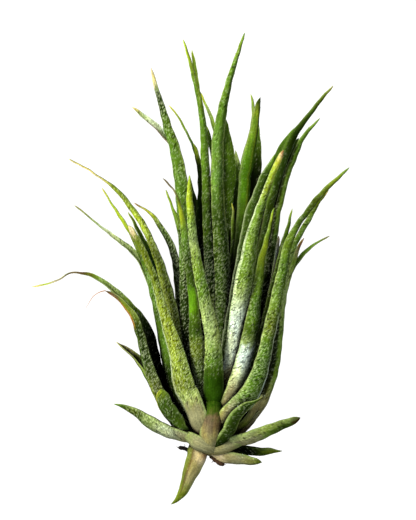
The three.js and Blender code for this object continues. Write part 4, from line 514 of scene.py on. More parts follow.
11.9 75.5 -5 1.9, 11.9 79.5 -4.9 1.2, 11.7 82 -4.8 0.8, 11.5 83.5 -4.7 0.6;
zones 12 ink, 51.75 ink 0.1, 69 ink 0.1, 73 forest 0.2, 76.75 moss 0.3, 81.75 leaf 0.2, 85.5 olive,
87.5 fern

inner_leaf_5: turn 170 0;
rows 0.9 12 -3.4 2.6, 2.4 28 -5.6 3, 3.7 42 -6.6 3.4, 4.6 54 -7 3.8, 5.1 63 -7 3.9, 5.1 69.25 -6.9 3.8,
4.9 72 -6.8 3.4, 4.6 74.5 -6.8 2.8, 4.4 77 -6.7 2.1, 4.2 79.5 -6.6 1.3, 4 82.25 -6.6 0.6;
zones 12 ink 0.1, 49.25 ink 0.3, 57 moss 0.4, 66 leaf 0.3, 74 leaf 0.3, 79.25 moss 0.3, 82.25 moss;
bands -1 -0.55 forest 0.7

inner_leaf_6: turn -165 0;
rows -0.4 13 -2.4 2, -0.8 32 -3.8 2.2, -1.2 52 -4.4 2, -1.4 66 -4.5 1.6, -1.4 74 -4.5 1.4, -1.7 81 -4.5 1.3,
-2.6 86.75 -4.4 1.2, -3.4 91.9 -4.3 1.1, -3.9 95.5 -4.2 1, -4.5 99.5 -4.2 0.6;
zones 13 ink 0.1, 61.75 ink 0.1, 74.25 forest 0.1, 81.75 leaf 0.3, 88 leaf 0.3, 93 olive 0.2,
96.75 fern 0.1, 99.5 lime

inner_leaf_7: turn 175 0;
rows 0.4 13 -2.6 1.8, 1.4 32 -4 2.1, 2 50 -4.4 2, 2.1 64 -4.5 1.7, 1.9 73 -4.5 1.4, 1.5 78 -4.5 1.15,
0.6 81.6 -4.5 1, -0.4 84.2 -4.4 0.85, -1.4 86.6 -4.4 0.7, -2.5 89 -4.4 0.6;
zones 13 ink 0.1, 61.75 forest 0.1, 74.25 moss 0.1, 80.5 fern 0.2, 84.75 sage 0.2, 87.5 lime 0.1, 89 acid

inner_leaf_12: turn -50 0;
rows -0.8 13 1.2 2, -1.6 28 1.8 2.2, -2.4 46 2 2, -2.5 57 2 1.9, -2.3 64 2 1.6, -2.4 69 2 1.5, -3 72 2 1.3,
-3.6 74.3 2 0.9, -4.25 76 2 0.6;
zones 13 ink, 54.25 ink 0.1, 64.25 forest 0.1, 71.75 forest 0.1, 74.25 lime 0.1, 76 lime;
bands -1 -0.6 lime 0.8 66 76

inner_leaf_11: turn -150 0;
rows -0.6 13 -0.6 1.8, -1.4 30 -1.6 2, -1.8 50 -2 1.8, -2 64 -2 1.4, -2.5 69 -2 1.1, -3.4 73 -2 0.9,
-4.4 75.6 -2 0.75, -5.4 77.9 -2 0.7, -6.7 80.4 -2 0.7, -8.4 83.3 -2 0.6, -10.25 85.5 -2 0.6;
zones 13 ink, 61.75 forest 0.1, 70.5 moss 0.1, 75.5 teal 0.2, 79.75 fern 0.3, 83 lime 0.1, 85.5 acid

inner_leaf_9: turn 120 0;
rows 1.3 14 -0.6 1.6, 4.4 34 -0.8 1.8, 6.8 52 -0.8 1.7, 8.2 64 -0.8 1.5, 9.6 74 -0.8 1.3, 10.6 80 -0.8 1.1,
10.95 84 -0.8 0.95, 10.6 86.5 -0.8 0.75, 10.2 88.3 -0.8 0.6;
zones 14 ink, 52 ink, 61.75 ink 0.1, 79.25 moss 0.1, 83.75 sage 0.1, 86.75 fern, 88 lime

inner_leaf_10: turn 160 0;
rows 1 14 -1.8 1.6, 3.6 34 -3 1.8, 5.6 52 -3.3 1.8, 6.8 63 -3.3 1.6, 7.2 68.5 -3.3 1.4, 6.8 72 -3.3 1,
6.4 74.25 -3.3 0.6;
zones 14 ink, 58 ink 0.1, 67 forest 0.2, 71 moss 0.2, 72.5 sage 0.1, 74.25 sage

inner_leaf_8: turn 20 0;
rows 0.5 15 0.8 1.4, 0.8 32 1.2 1.8, 0.8 48 1.4 1.7, 0.7 60 1.4 1.6, 0.6 66 1.4 1.4, 0.9 71.5 1.4 1.1,
0.35 74.25 1.4 1.1, 0 76.5 1.4 1.1, -0.5 79 1.4 0.8, -0.9 80.3 1.4 0.6;
zones 15 ink, 69.25 ink, 76.75 forest 0.1, 79.75 moss, 80.75 lime

inner_leaf_13: turn 20 0;
rows 1.2 18 0.9 1.4, 3 30 1.3 1.7, 4.4 40 1.5 1.7, 5.4 46.5 1.5 1.5, 5.9 51 1.5 1.4, 5.8 55 1.5 1.1,
5.75 58.5 1.5 0.75, 5.5 61 1.5 0.6;
zones 18 ink, 45.5 ink 0.1, 49.25 forest 0.3, 53 moss 0.4, 56.75 fern 0.1, 58.5 sage, 61 acid
"""

# The papery remains of old leaf bases round the stem's foot, laid out like the leaves, each with
# the slot that it takes its finish from.
SHEATHS = """
sheath_front: slot leaf_silver_green; turn 0 0;
rows 0.2 -1.2 4.6 3.6, 0.3 0.8 7.8 5.4, 0.4 3 9.5 6, 0.6 6 10.2 5.9, 0.8 8.6 10.2 5.5, 0.9 10.5 10 5,
0.9 12.4 9.4 4.4;
zones -0.8 ash, 1.2 ash, 3.4 khaki, 5.5 bark, 7.5 bark, 9.3 moss, 10.6 moss, 11.6 emerald

sheath_left: slot leaf_pale_green; turn -20 30;
rows 2 -0.6 6.8 2.8, -0.6 0.2 8 3.8, -3.2 1.4 8 3.8, -5.6 2.7 7.5 2.6, -7.6 3.6 7.2 1.2;
zones -0.6 khaki, 0.4 ash, 1.8 ash, 3.6 sage 0.3

sheath_right: slot leaf_pale_green; turn 20 40;
rows -0.5 -0.7 6.4 2.4, 2 -0.4 7.4 3.2, 4.8 0.5 7.8 3.2, 7.6 1.4 8 2.2, 9.8 2.1 8.2 1;
zones -0.7 khaki, -0.2 ash, 0.6 ash, 1.8 sage 0.3

sheath_strip_upper: slot leaf_olive_green; turn 50 10;
rows 4.6 2.4 5.4 1.6, 7.4 5 6.6 2, 10 8 7.2 1.9, 12 11 7.6 1.3, 13 13.2 7.8 0.6;
zones 2.4 khaki, 6 olive, 9 khaki, 13 ash

sheath_strip_lower: slot stem_brown; turn 50 20;
rows 5 1.8 4.2 1.4, 8 4 5 1.6, 10.6 6.6 5.4 1.3, 12.4 9 5.6 0.6;
zones 1.8 bark, 4 umber, 6.6 khaki, 9 ash
"""

BACK_ZONES = [
    (5, "bark", 0.1), (10, "khaki", 0.3), (18, "moss", 0.6), (35, "leaf", 0.5), (48, "fern", 0.3),
    (60, "khaki", 0.1),
]

# The cut-off root stubs: [x, y, z] from the stem outwards, radius, and thin side roots as
# [start share, direction, length].
ROOTS = {
    "root_1": {
        "points": [[0.4, -2.2, 3.2], [1.4, -3.2, 4.4], [2.6, -4.1, 4.6], [3.6, -4.4, 4.4]],
        "radius": 0.7,
        "tone": "umber",
        "side_roots": [
            (0.35, (-0.6, -0.7, 0.3), 1.4), (0.6, (0.5, -0.8, 0.2), 1.2), (0.9, (0.9, 0.1, 0.2), 0.9),
        ],
    },
    "root_2": {
        "points": [[-3.2, -0.6, 0.4], [-5.0, -0.9, 1.2], [-6.6, -0.4, 1.6], [-7.9, -0.2, 1.6]],
        "radius": 0.6,
        "tone": "soot",
        "side_roots": [
            (0.4, (-0.3, -0.9, 0.3), 1.6), (0.65, (-0.2, 0.8, 0.4), 1.3), (0.95, (-0.9, 0.3, 0.1), 1.0),
        ],
    },
}
ROOT_STEP = 0.22
ROOT_SIDES = 12
ROOT_TAPER = 0.25
ROOT_LUMPS = 0.12
ROOT_WAVES = (1.7, 0.9)
ROOT_ROUGHNESS = 0.13
BROKEN_END = 0.5  # how thick the very end is, as a share
SIDE_ROOT_STEPS = 9
SIDE_ROOT_SIDES = 6
SIDE_ROOT_RADIUS = (0.16, 0.04)
SIDE_ROOT_SWAY = 0.12
SIDE_ROOT_WAVES = (1.3, 0.7)
SIDE_ROOT_ROUGHNESS = 0.15
SIDE_ROOT_LIGHTER = 1.3

# The stem's outline: height along Y, radius.
STEM_PROFILE = [[-1.6, 2.4], [-0.8, 3.8], [0.8, 4.4], [4, 4.0], [8, 3.0], [12, 1.9], [16, 0.8]]
STEM_SIDES = 56
STEM_RINGS = 70
STEM_ROUND = 4  # how far its patterns run round it, for each radian
SCAR_STEP = 1.1  # from one ring of leaf scars to the next
SCAR_DEPTH = 0.16
SCAR_TILT = 1.5  # how far a ring leans round the stem, in rings, and how far it wobbles
SCAR_WOBBLE = 0.7
STEM_RAGGED = 0.05
STEM_SCALES = 0.1
THINNEST_STEM = 0.2

# Where the random draws of each kind of piece start.
STEM_SEED = 900
ROOT_SEED = 950
SHEATH_SEED = 970

# ---- small helpers


def word_value(word):
    """The number that a word stands for, or else the word."""
    try:
        return float(word)
    except ValueError:
        return word


def read_leaves(table):
    """The leaves of a table as above, each as a dictionary of its name and its lists of rows."""
    leaves = []
    for paragraph in table.split("\n\n"):
        name, lists = paragraph.split(":")
        leaf = {"name": name.strip()}
        for text in lists.split(";"):
            key, rows = text.split(maxsplit=1)
            leaf[key] = [[word_value(word) for word in row.split()] for row in rows.split(",")]
        leaves.append(leaf)
    return leaves


def linear(tone):
    """A tone's colour as the light that the surface returns."""
    share = np.array(TONES[tone]) / 255
    return ALBEDO * np.where(share <= 0.04045, share / 12.92, ((share + 0.055) / 1.055) ** 2.4)


def smooth(x):
    """From 0 to 1 with soft ends, as x goes from 0 to 1."""
    x = np.clip(x, 0, 1)
    return x * x * (3 - 2 * x)


def unit(vectors):
    """The vectors at a length of 1."""
    return vectors / np.maximum(np.linalg.norm(vectors, axis=-1, keepdims=True), 1e-9)


def dot(a, b):
    return (a * b).sum(axis=-1)


def wander(rng, at, waves):
    """A smooth random curve of about -1 to 1 along at, of waves of these lengths."""
    total = np.zeros_like(at)
    for length in waves:
        total += np.sin(at * 2 * math.pi / length + rng.uniform(0, 2 * math.pi))
    return total / len(waves)


def fanned(height):
    """How many times deeper the rosette is at this height than at its base."""
    return 1 + FAN * smooth((height - FAN_START) / (FAN_END - FAN_START))


def catmull_rom(rows, t):
    """Rows on a smooth curve through the given rows, and the slope there."""
    ends = np.vstack([2 * rows[0] - rows[1], rows, 2 * rows[-1] - rows[-2]])
    first = np.minimum(t.astype(int), len(rows) - 2)
    f = (t - first)[:, None]
    before, start, end, after = (ends[first + k] for k in range(4))
    leave = (end - before) / 2
    arrive = (after - start) / 2
    c = 3 * (end - start) - 2 * leave - arrive
    d = 2 * (start - end) + leave + arrive
    return start + f * (leave + f * (c + f * d)), leave + f * (2 * c + 3 * f * d)


def even_curve(rows, step):
    """Rows spaced evenly along the curve, the directions there, and how far along each is."""
    fine_t = np.linspace(0, len(rows) - 1, (len(rows) - 1) * CURVE_STEPS + 1)
    fine = catmull_rom(rows, fine_t)[0]
    lengths = np.linalg.norm(np.diff(fine[:, :3], axis=0), axis=1)
    travelled = np.concatenate([[0], np.cumsum(lengths)])
    count = max(int(travelled[-1] / step), FEWEST_STEPS) + 1
    along = np.linspace(0, travelled[-1], count)
    places, slopes = catmull_rom(rows, np.interp(along, travelled, fine_t))
    return places, unit(slopes[:, :3]), along


# A part of a mesh is a dictionary: its points (mm), its faces, whether they are smooth, and what
# the materials read at each point: tint, how dense the scales are, and the place on the surface.


def make_part(points, faces, tint, scales, place, is_smooth=True):
    count = len(points)
    return {
        "points": points,
        "faces": faces,
        "smooth": is_smooth,
        "tint": np.broadcast_to(tint, (count, 3)),
        "scales": np.broadcast_to(scales, (count,)),
        "place": np.broadcast_to(place, (count, 3)),
    }


def ring_faces(rings, count):
    """The faces between closed rings of points."""
    faces = []
    for ring in range(rings - 1):
        for k in range(count):
            a = ring * count + k
            b = ring * count + (k + 1) % count
            faces.append((a, b, b + count, a + count))
    return faces


def capped_faces(rings, count):
    """The same with both ends closed, to two points that follow the rings."""
    faces = ring_faces(rings, count)
    foot = rings * count
    last = foot - count
    for k in range(count):
        after = (k + 1) % count
        faces.append((foot, after, k))
        faces.append((foot + 1, last + k, last + after))
    return faces


def tube(centres, radii, sides, roughness, rng):
    """A closed tube: its points and faces. Its sides are found from a direction across it."""
    slopes = unit(np.gradient(centres, axis=0))
    is_upright = abs(slopes[:, 2]).mean() >= 0.8
    guide = np.array([1.0, 0.0, 0.0] if is_upright else [0.0, 0.0, 1.0])
    side = unit(np.cross(slopes, guide))
    other = np.cross(side, slopes)
    angle = np.linspace(0, 2 * math.pi, sides, endpoint=False)
    lumps = 1 + roughness * rng.uniform(-1, 1, (len(centres), sides))
    spokes = side[:, None] * np.cos(angle)[:, None] + other[:, None] * np.sin(angle)[:, None]
    rings = centres[:, None] + spokes * (radii[:, None] * lumps)[..., None]
    points = np.vstack([rings.reshape(-1, 3), centres[:1], centres[-1:]])
    faces = [(face[0], *face[:0:-1]) for face in capped_faces(len(centres), sides)]
    return points, faces


# ---- leaf form


def outward_side(turn):
    """The direction that a leaf's convex back faces."""
    azimuth, dip = (math.radians(angle) for angle in turn)
    return np.array([
        math.sin(azimuth) * math.cos(dip),
        -math.sin(dip),
        math.cos(azimuth) * math.cos(dip),
    ])


def section(u, width, thickness, edges):
    """The blade's section at each ring: how far to the side and outwards each point is."""
    sideways = u * edges * width[:, None] / 2
    middle = CHANNEL_DEPTH * width[:, None] * (0.5 - u**2)
    half = thickness[:, None] / 2 * (1 - EDGE_THINNING * np.abs(u) ** 3)
    narrow = np.minimum(width, RIB_FULL)[:, None] / RIB_FULL
    rib = RIB_HEIGHT * np.cos(u * RIB_WAVES * math.pi) * (1 - u**2) * narrow
    back = np.stack([sideways, middle + half + rib], axis=-1)
    channel = np.stack([sideways, middle - half + rib], axis=-1)[:, ::-1]
    return np.concatenate([back, channel], axis=1)


def leaf_form(leaf, rng):
    """The blade as a grid of points, section by section, each from edge to edge and back."""
    rows = np.array(leaf["rows"])
    rows[:, 2] *= fanned(rows[:, 1])
    places, along, travelled = even_curve(rows, RING_STEP)
    left = travelled[-1] - travelled
    centre = places[:, :3] + 0
    out = outward_side(leaf["turn"][0])
    out = unit(out - along * dot(along, out)[:, None])
    side = np.cross(along, out)
    across = unit(np.stack([-along[:, 1], along[:, 0], np.zeros(len(along))], axis=1))

    centre += side * (SWAY_ASIDE * wander(rng, travelled, SWAY_ASIDE_WAVES))[:, None]
    centre += out * (SWAY_OUT * wander(rng, travelled, SWAY_OUT_WAVES))[:, None]
    centre[0] -= along[0] * INTO_STEM

    u = np.sin(np.linspace(-math.pi / 2, math.pi / 2, ACROSS))
    left_edge = 1 + EDGE_WAVE * wander(rng, travelled, LEFT_EDGE_WAVES)
    right_edge = 1 + EDGE_WAVE * wander(rng, travelled, RIGHT_EDGE_WAVES)
    edges = np.where(u < 0, left_edge[:, None], right_edge[:, None])

    # The blade is made again until it looks as wide from above as its row says.
    seen = np.minimum(places[:, 3] / THREAD_FROM, 1) ** THREAD_POWER * THREAD_FROM
    seen = np.where(places[:, 3] < THREAD_FROM, seen, places[:, 3])
    seen *= BLUNT_POINT + (1 - BLUNT_POINT) * np.sqrt(np.clip(left / POINT_LENGTH, 0, 1))
    least, most = (share * seen for share in WIDTH_RANGE)
    width = seen
    for _ in range(WIDTH_STEPS):
        thickness = np.clip(width * THICKNESS_TO_WIDTH, THINNEST, THICKEST)
        thickness = np.minimum(thickness, THICKNESS_TO_LOOKS * seen)
        points = section(u, width, thickness, edges)
        grid = side[:, None] * points[..., :1] + out[:, None] * points[..., 1:]
        reach = dot(grid, across[:, None])
        looks = reach.max(axis=1) - reach.min(axis=1)
        offset = (reach.max(axis=1) + reach.min(axis=1)) / 2
        width = np.clip(width * seen / looks, least, np.minimum(most, WIDEST_LEAF))
    grid += (centre - across * offset[:, None])[:, None]

    return {
        "grid": grid,
        "along": along,
        "out": out,
        "side": side,
        "travelled": travelled,
        "heights": places[:, 1],
        "width": width,
        "u": np.concatenate([u, u[::-1]]),
        "right": np.sign(dot(side, -across)),
    }


def blade_faces(rings):
    """The faces of a blade of so many sections, closed at both ends."""
    count = 2 * ACROSS
    faces = ring_faces(rings, count)
    last = (rings - 1) * count
    for k in range(ACROSS - 1):
        j = count - 1 - k
        faces.append((k, j, j - 1, k + 1))
        faces.append((last + k, last + k + 1, last + j - 1, last + j))
    return faces


# ---- leaf colour


def zone_places(zones, form):
    """How far along the leaf each zone starts: where its centreline next reaches that height."""
    start = 0
    places = []
    for zone in zones:
        gap = form["heights"][start:] - zone[0]
        crossings = np.flatnonzero(gap[:-1] * gap[1:] <= 0)
        start += int(crossings[0]) if len(crossings) else int(np.argmin(np.abs(gap)))
        places.append(form["travelled"][start])
    return places


def leaf_looks(leaf, form, rng):
    """The tint and the density of scales at each point of the blade's grid."""
    zones = leaf.get("zones", BACK_ZONES)
    places = zone_places(zones, form)
    tones = np.array([linear(zone[1]) for zone in zones])
    densities = [zone[2] if len(zone) > 2 else 0 for zone in zones]
    grid = form["grid"]
    at = form["travelled"][:, None] + ZONE_RAGGED * rng.uniform(-1, 1, grid.shape[:2])
    tint = np.stack([np.interp(at, places, tones[:, i]) for i in range(3)], axis=-1)
    scales = np.interp(at, places, densities)

    def blend(tone, share):
        nonlocal tint
        tint = tint + (linear(tone) - tint) * share[..., None]

    # The thin margins turn pale: partly their own paler skin, partly a painted highlight, less so where the
    # tint is dark.
    margin = smooth((np.abs(form["u"]) - MARGIN_FROM) / MARGIN_BLEND)
    lightness = np.clip(tint.sum(axis=-1) / linear("leaf").sum(), 0, 1)
    blend("sage", MARGIN_PALE_AND_HIGHLIGHT * margin * lightness)
    seen_u = form["u"] * form["right"][:, None]
    height = form["heights"][:, None]
    # Bands: the dark ones are painted shade and shadow, the pale edge ones partly a painted highlight.
    for low_u, high_u, tone, strength, *ends in leaf.get("bands", []):
        low, high = ends or BAND_ENDS
        inside = smooth((seen_u - low_u) / BAND_BLEND + 1) * smooth((high_u - seen_u) / BAND_BLEND + 1)
        inside = inside * smooth((height - low) / BAND_FADE + 0.5)
        inside = inside * smooth((high - height) / BAND_FADE + 0.5)
        blend(tone, inside * strength)
    for x, y, radius, tone, strength in leaf.get("spots", []):
        distance = np.hypot(grid[..., 0] - x, grid[..., 1] - y)
        blend(tone, smooth(SPOT_REACH - distance / radius) * strength)
    return tint, scales


# ---- scales and hairs


def spikes(at, heading, up, length, width, height):
    """Four-sided specks that lie on a surface: tail, two sides and a raised tip for each."""
    beside = np.cross(up, heading)
    sunk = up * SUNK
    tail = at - heading * (length / 2)[:, None] - sunk
    left = at + beside * (width / 2) - sunk
    right = at - beside * (width / 2) - sunk
    tip = at + heading * (length / 2)[:, None] + up * height
    points = np.stack([tail, left, right, tip], axis=1).reshape(-1, 3)
    faces = []
    for n in range(0, len(points), 4):
        faces += [(n, n + 1, n + 2), (n, n + 2, n + 3), (n, n + 3, n + 1), (n + 1, n + 3, n + 2)]
    return points, faces


def flakes(form, tint, scales, place, rng):
    """The silvery scales that stand out on both faces, slanting across them."""
    grid = form["grid"]
    keep = np.array([k for k in range(2 * ACROSS - 1) if k != ACROSS - 1])
    lengthwise = (grid[1:] - grid[:-1])[:, keep]
    crosswise = (grid[:, 1:] - grid[:, :-1])[:-1, keep]
    normal = np.cross(crosswise, lengthwise)
    weight = np.linalg.norm(normal, axis=-1) * (FEWEST_FLAKES + scales[:-1, keep])
    count = rng.poisson(weight.sum() * FLAKES_PER_AREA)
    if count == 0:
        return []
    cell = rng.choice(weight.size, count, p=(weight / weight.sum()).ravel())
    ring, column = np.unravel_index(cell, weight.shape)
    corner = (ring, keep[column])
    one_each = (count, 1)
    step = rng.random(one_each)
    shift = rng.random(one_each)
    at = grid[corner] + lengthwise[ring, column] * step + crosswise[ring, column] * shift
    slant = np.radians(rng.uniform(*FLAKE_SLANT, one_each))
    slant *= np.where(column < ACROSS - 1, 1, -1)[:, None] * form["right"][ring][:, None]
    heading = unit(lengthwise[ring, column]) * np.cos(slant)
    heading += unit(crosswise[ring, column]) * np.sin(slant)
    length = rng.uniform(*FLAKE_LENGTH, count)
    up = unit(normal[ring, column])
    points, faces = spikes(at, heading, up, length, FLAKE_WIDTH, FLAKE_HEIGHT)
    bright = rng.uniform(*FLAKE_BRIGHTNESS, one_each)
    own = tint[corner] * SCALE_GLOW
    mixed = own + (linear("scale") - own) * SCALE_SILVER
    mixed = np.repeat(mixed * bright, 4, axis=0)
    where = np.repeat(place[corner], 4, axis=0)
    return [make_part(points, faces, mixed, 0, where, is_smooth=False)]


def margin_hairs(leaf, form, place, rng):
    """Short pale hairs along both edges, and more of them where a leaf's edge is furry."""
    made = []
    edge_sign, furry, low, high = leaf.get("fuzz", [[0, 0, 0, 0]])[0]
    heights = form["heights"]
    for column, outwards in ((0, -1), (ACROSS - 1, 1)):
        inside = (heights > low) & (heights < high) & (outwards * form["right"] == edge_sign)
        rate = np.where(inside, furry, HAIRS_PER_LENGTH) * RING_STEP
        ring = np.repeat(np.arange(len(rate)), rng.poisson(rate))
        if len(ring) == 0:
            continue
        one_each = (len(ring), 1)
        out = form["out"][ring]
        along = form["along"][ring]
        at = form["grid"][ring, column] + along * rng.uniform(0, RING_STEP, one_each)
        heading = outwards * form["side"][ring] * rng.uniform(*HAIR_ASIDE, one_each)
        heading += along * rng.uniform(*HAIR_ALONG, one_each)
        heading = unit(heading + out * rng.uniform(*HAIR_OUT, one_each))
        up = unit(out - heading * dot(heading, out)[:, None])
        length = rng.uniform(*HAIR_LENGTH, len(ring))
        points, faces = spikes(at, heading, up, length, HAIR_WIDTH, HAIR_WIDTH / 2)
        where = np.repeat(place[ring, column], 4, axis=0)
        tone = linear("silver") * HAIR_BRIGHTNESS
        made.append(make_part(points, faces, tone, 0, where, is_smooth=False))
    return made


def long_hair(points, place, rng):
    """A long dry thread through the points, thinning towards its end."""
    places = even_curve(np.array(points), THREAD_STEP)[0]
    radii = np.linspace(*THREAD_RADIUS, len(places))
    mesh_points, faces = tube(places, radii, THREAD_SIDES, THREAD_ROUGHNESS, rng)
    return make_part(mesh_points, faces, linear("rust"), 0, place)


# ---- pieces

stem_low, stem_high = (np.array(corner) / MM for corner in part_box("stem"))
FOOT = (stem_low + stem_high) / 2
FOOT[1] = stem_low[1] - STEM_PROFILE[0][0]
SLOTS = {part["node"]: part["material_slot"] for part in frame["record"]["subparts"]}
plant = bpy.data.collections.new("plant")


def add_piece(name, parts, slot, node=None):
    """Joins the parts in one mesh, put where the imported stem's foot is, and names what it is."""
    points = np.vstack([part["points"] for part in parts]) + FOOT
    points[:, 2] = np.maximum(points[:, 2], 0)
    faces = []
    is_smooth = []
    start = 0
    for part in parts:
        faces += [tuple(start + index for index in face) for face in part["faces"]]
        is_smooth += [part["smooth"]] * len(part["faces"])
        start += len(part["points"])
    mesh = bpy.data.meshes.new(name)
    mesh.from_pydata((points * MM).tolist(), [], faces)
    mesh.polygons.foreach_set("use_smooth", is_smooth)
    tint = np.ones((len(points), 4))
    tint[:, :3] = np.vstack([part["tint"] for part in parts])
    scales = np.concatenate([part["scales"] for part in parts])
    place = np.vstack([part["place"] for part in parts])
    mesh.attributes.new("tint", "FLOAT_COLOR", "POINT").data.foreach_set("color", tint.ravel())
    mesh.attributes.new("scales", "FLOAT", "POINT").data.foreach_set("value", scales)
    mesh.attributes.new("place", "FLOAT_VECTOR", "POINT").data.foreach_set("vector", place.ravel())
    mesh.materials.append(materials[slot])
    mesh.update()
    piece = bpy.data.objects.new(name, mesh)
    bpy.context.scene.collection.objects.link(piece)
    plant.objects.link(piece)
    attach(piece, "root")
    if node:
        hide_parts(node)


def leaf_parts(leaf, seed):
    """The blade of a leaf with its scales, its hairs and its thread, if it has one."""
    rng = np.random.default_rng(seed)
    form = leaf_form(leaf, rng)
    tint, scales = leaf_looks(leaf, form, rng)
    grid = form["grid"]
    face = np.where(np.arange(2 * ACROSS) < ACROSS, 0, FACE_APART)
    place = np.zeros(grid.shape)
    sideways = form["u"] * form["width"][:, None] / 2 * form["right"][:, None]
    place[..., 0] = sideways + face + LEAF_APART * seed
    place[..., 1] = form["travelled"][:, None]
    points, tints, spots = (values.reshape(-1, 3) for values in (grid, tint, place))
    parts = [make_part(points, blade_faces(len(grid)), tints, scales.ravel(), spots)]
    parts += flakes(form, tint, scales, place, rng)
    parts += margin_hairs(leaf, form, place, rng)
    if "hair" in leaf:
        parts.append(long_hair(leaf["hair"], place[-1, 0], rng))
    return parts


def stem_part():
    """The short stem, with rings of leaf scars and a ragged surface."""
    rng = np.random.default_rng(STEM_SEED)
    profile = np.array(STEM_PROFILE, float)
    height = np.linspace(profile[0, 0], profile[-1, 0], STEM_RINGS)
    radius = np.interp(height, profile[:, 0], profile[:, 1])
    angle = np.linspace(0, 2 * math.pi, STEM_SIDES, endpoint=False)
    turn, level = np.meshgrid(angle, height)
    scars = (level / SCAR_STEP + SCAR_TILT * np.sin(turn) + SCAR_WOBBLE * np.sin(3 * turn + 1)) % 1
    depth = SCAR_DEPTH * scars + STEM_RAGGED * rng.uniform(-1, 1, turn.shape)
    reach = np.maximum(radius[:, None] - depth, THINNEST_STEM)
    rings = np.stack([np.sin(turn) * reach, level, np.cos(turn) * reach], axis=-1)
    centres = np.array([[0, height[0], 0], [0, height[-1], 0]])
    points = np.vstack([rings.reshape(-1, 3), centres])
    mix = np.concatenate([scars.ravel(), [0, 0]])[:, None]
    tint = linear("cream") * mix + linear("bark") * (1 - mix)
    around = np.stack([turn * STEM_ROUND, level, np.zeros_like(turn)], axis=-1)
    place = np.vstack([around.reshape(-1, 3), centres])
    return make_part(points, capped_faces(STEM_RINGS, STEM_SIDES), tint, STEM_SCALES, place)


def root_parts(root, seed):
    """A root stub with lumps, a broken end and thin side roots."""
    rng = np.random.default_rng(seed)
    places, _, travelled = even_curve(np.array(root["points"]), ROOT_STEP)
    share = travelled / travelled[-1]
    lumps = 1 + ROOT_LUMPS * wander(rng, travelled, ROOT_WAVES)
    radii = root["radius"] * (1 - ROOT_TAPER * share) * lumps
    radii[-1] *= BROKEN_END
    points, faces = tube(places, radii, ROOT_SIDES, ROOT_ROUGHNESS, rng)
    tone = linear(root["tone"])
    parts = [make_part(points, faces, tone, 0, points)]
    for start, heading, length in root["side_roots"]:
        base = places[int(start * (len(places) - 1))]
        steps = np.linspace(0, length, SIDE_ROOT_STEPS)
        line = base + unit(np.array(heading)) * steps[:, None]
        sway = [wander(rng, steps, SIDE_ROOT_WAVES) for _ in range(3)]
        line += SIDE_ROOT_SWAY * np.stack(sway, axis=1)
        radii = np.linspace(*SIDE_ROOT_RADIUS, SIDE_ROOT_STEPS)
        points, faces = tube(line, radii, SIDE_ROOT_SIDES, SIDE_ROOT_ROUGHNESS, rng)
        parts.append(make_part(points, faces, tone * SIDE_ROOT_LIGHTER, 0, points))
    return parts


# ---- materials


def new_material(name):
    """A material, and a function that adds a node to it and sets or links the node's inputs."""
    material = bpy.data.materials.new(name)
    material.use_nodes = True
    tree = material.node_tree
    tree.nodes.clear()

    def add(kind, inputs=None, **settings):
        node = tree.nodes.new("ShaderNode" + kind)
        for key, value in settings.items():
            setattr(node, key, value)
        for key, value in (inputs or {}).items():
            if isinstance(value, bpy.types.NodeSocket):
                tree.links.new(value, node.inputs[key])
            else:
                node.inputs[key].default_value = value
        return node

    return material, add


def surface(add, inputs):
    """The shader with these inputs, as the material's surface."""
    shader = add("BsdfPrincipled", inputs)
    add("OutputMaterial", {"Surface": shader.outputs["BSDF"]})


def attribute(add, name, output):
    return add("Attribute", attribute_name=name).outputs[output]


def stretched_noise(add, place, across, along, detail):
    """Noise on the surface with its own fineness across and along a leaf, per mm."""
    scaled = add("VectorMath", {0: place, 1: (across, along, 1)}, operation="MULTIPLY")
    return add("TexNoise", {"Vector": scaled.outputs[0], "Scale": 1, "Detail": detail}).outputs["Fac"]


def remap(add, value, low, high, new_low, new_high):
    inputs = {"Value": value, "From Min": low, "From Max": high, "To Min": new_low, "To Max": new_high}
    return add("MapRange", inputs, interpolation_type="SMOOTHSTEP").outputs["Result"]


def calculate(add, operation, first, second):
    return add("Math", {0: first, 1: second}, operation=operation).outputs[0]


def multiply(add, first, second):
    return calculate(add, "MULTIPLY", first, second)


def mix(add, factor, first, second, **settings):
    inputs = {"Factor": factor, "A": first, "B": second}
    return add("Mix", inputs, data_type="RGBA", **settings).outputs["Result"]


def scaled_colour(add, colour, factor):
    return add("VectorMath", {"Vector": colour, "Scale": factor}, operation="SCALE").outputs[0]


def painted_crevice_shade(add):
    """Painted shade: the skin darkened where leaves crowd together, the more so the less of the
    surroundings is open.
    """
    openness = add("AmbientOcclusion", {"Distance": CREVICE_REACH * MM}, samples=8).outputs["AO"]
    return remap(add, openness, *CREVICE_OPENNESS, *CREVICE_BRIGHTNESS)


def slanting_cells(add, place):
    """A cell for each painted scale: how far the point is from its middle, and random numbers."""
    inputs = {"Vector": place, "Angle": math.radians(DASH_SLANT)}
    turned = add("VectorRotate", inputs, rotation_type="Z_AXIS")
    fineness = (1 / DASH_WIDTH, 1 / DASH_LENGTH, 1)
    cells = add("VectorMath", {0: turned.outputs[0], 1: fineness}, operation="MULTIPLY")
    inputs = {"Vector": cells.outputs[0], "Scale": 1, "Randomness": 0.95}
    dashes = add("TexVoronoi", inputs, voronoi_dimensions="2D")
    pick = add("SeparateColor", {"Color": dashes.outputs["Color"]})
    return dashes.outputs["Distance"], pick.outputs


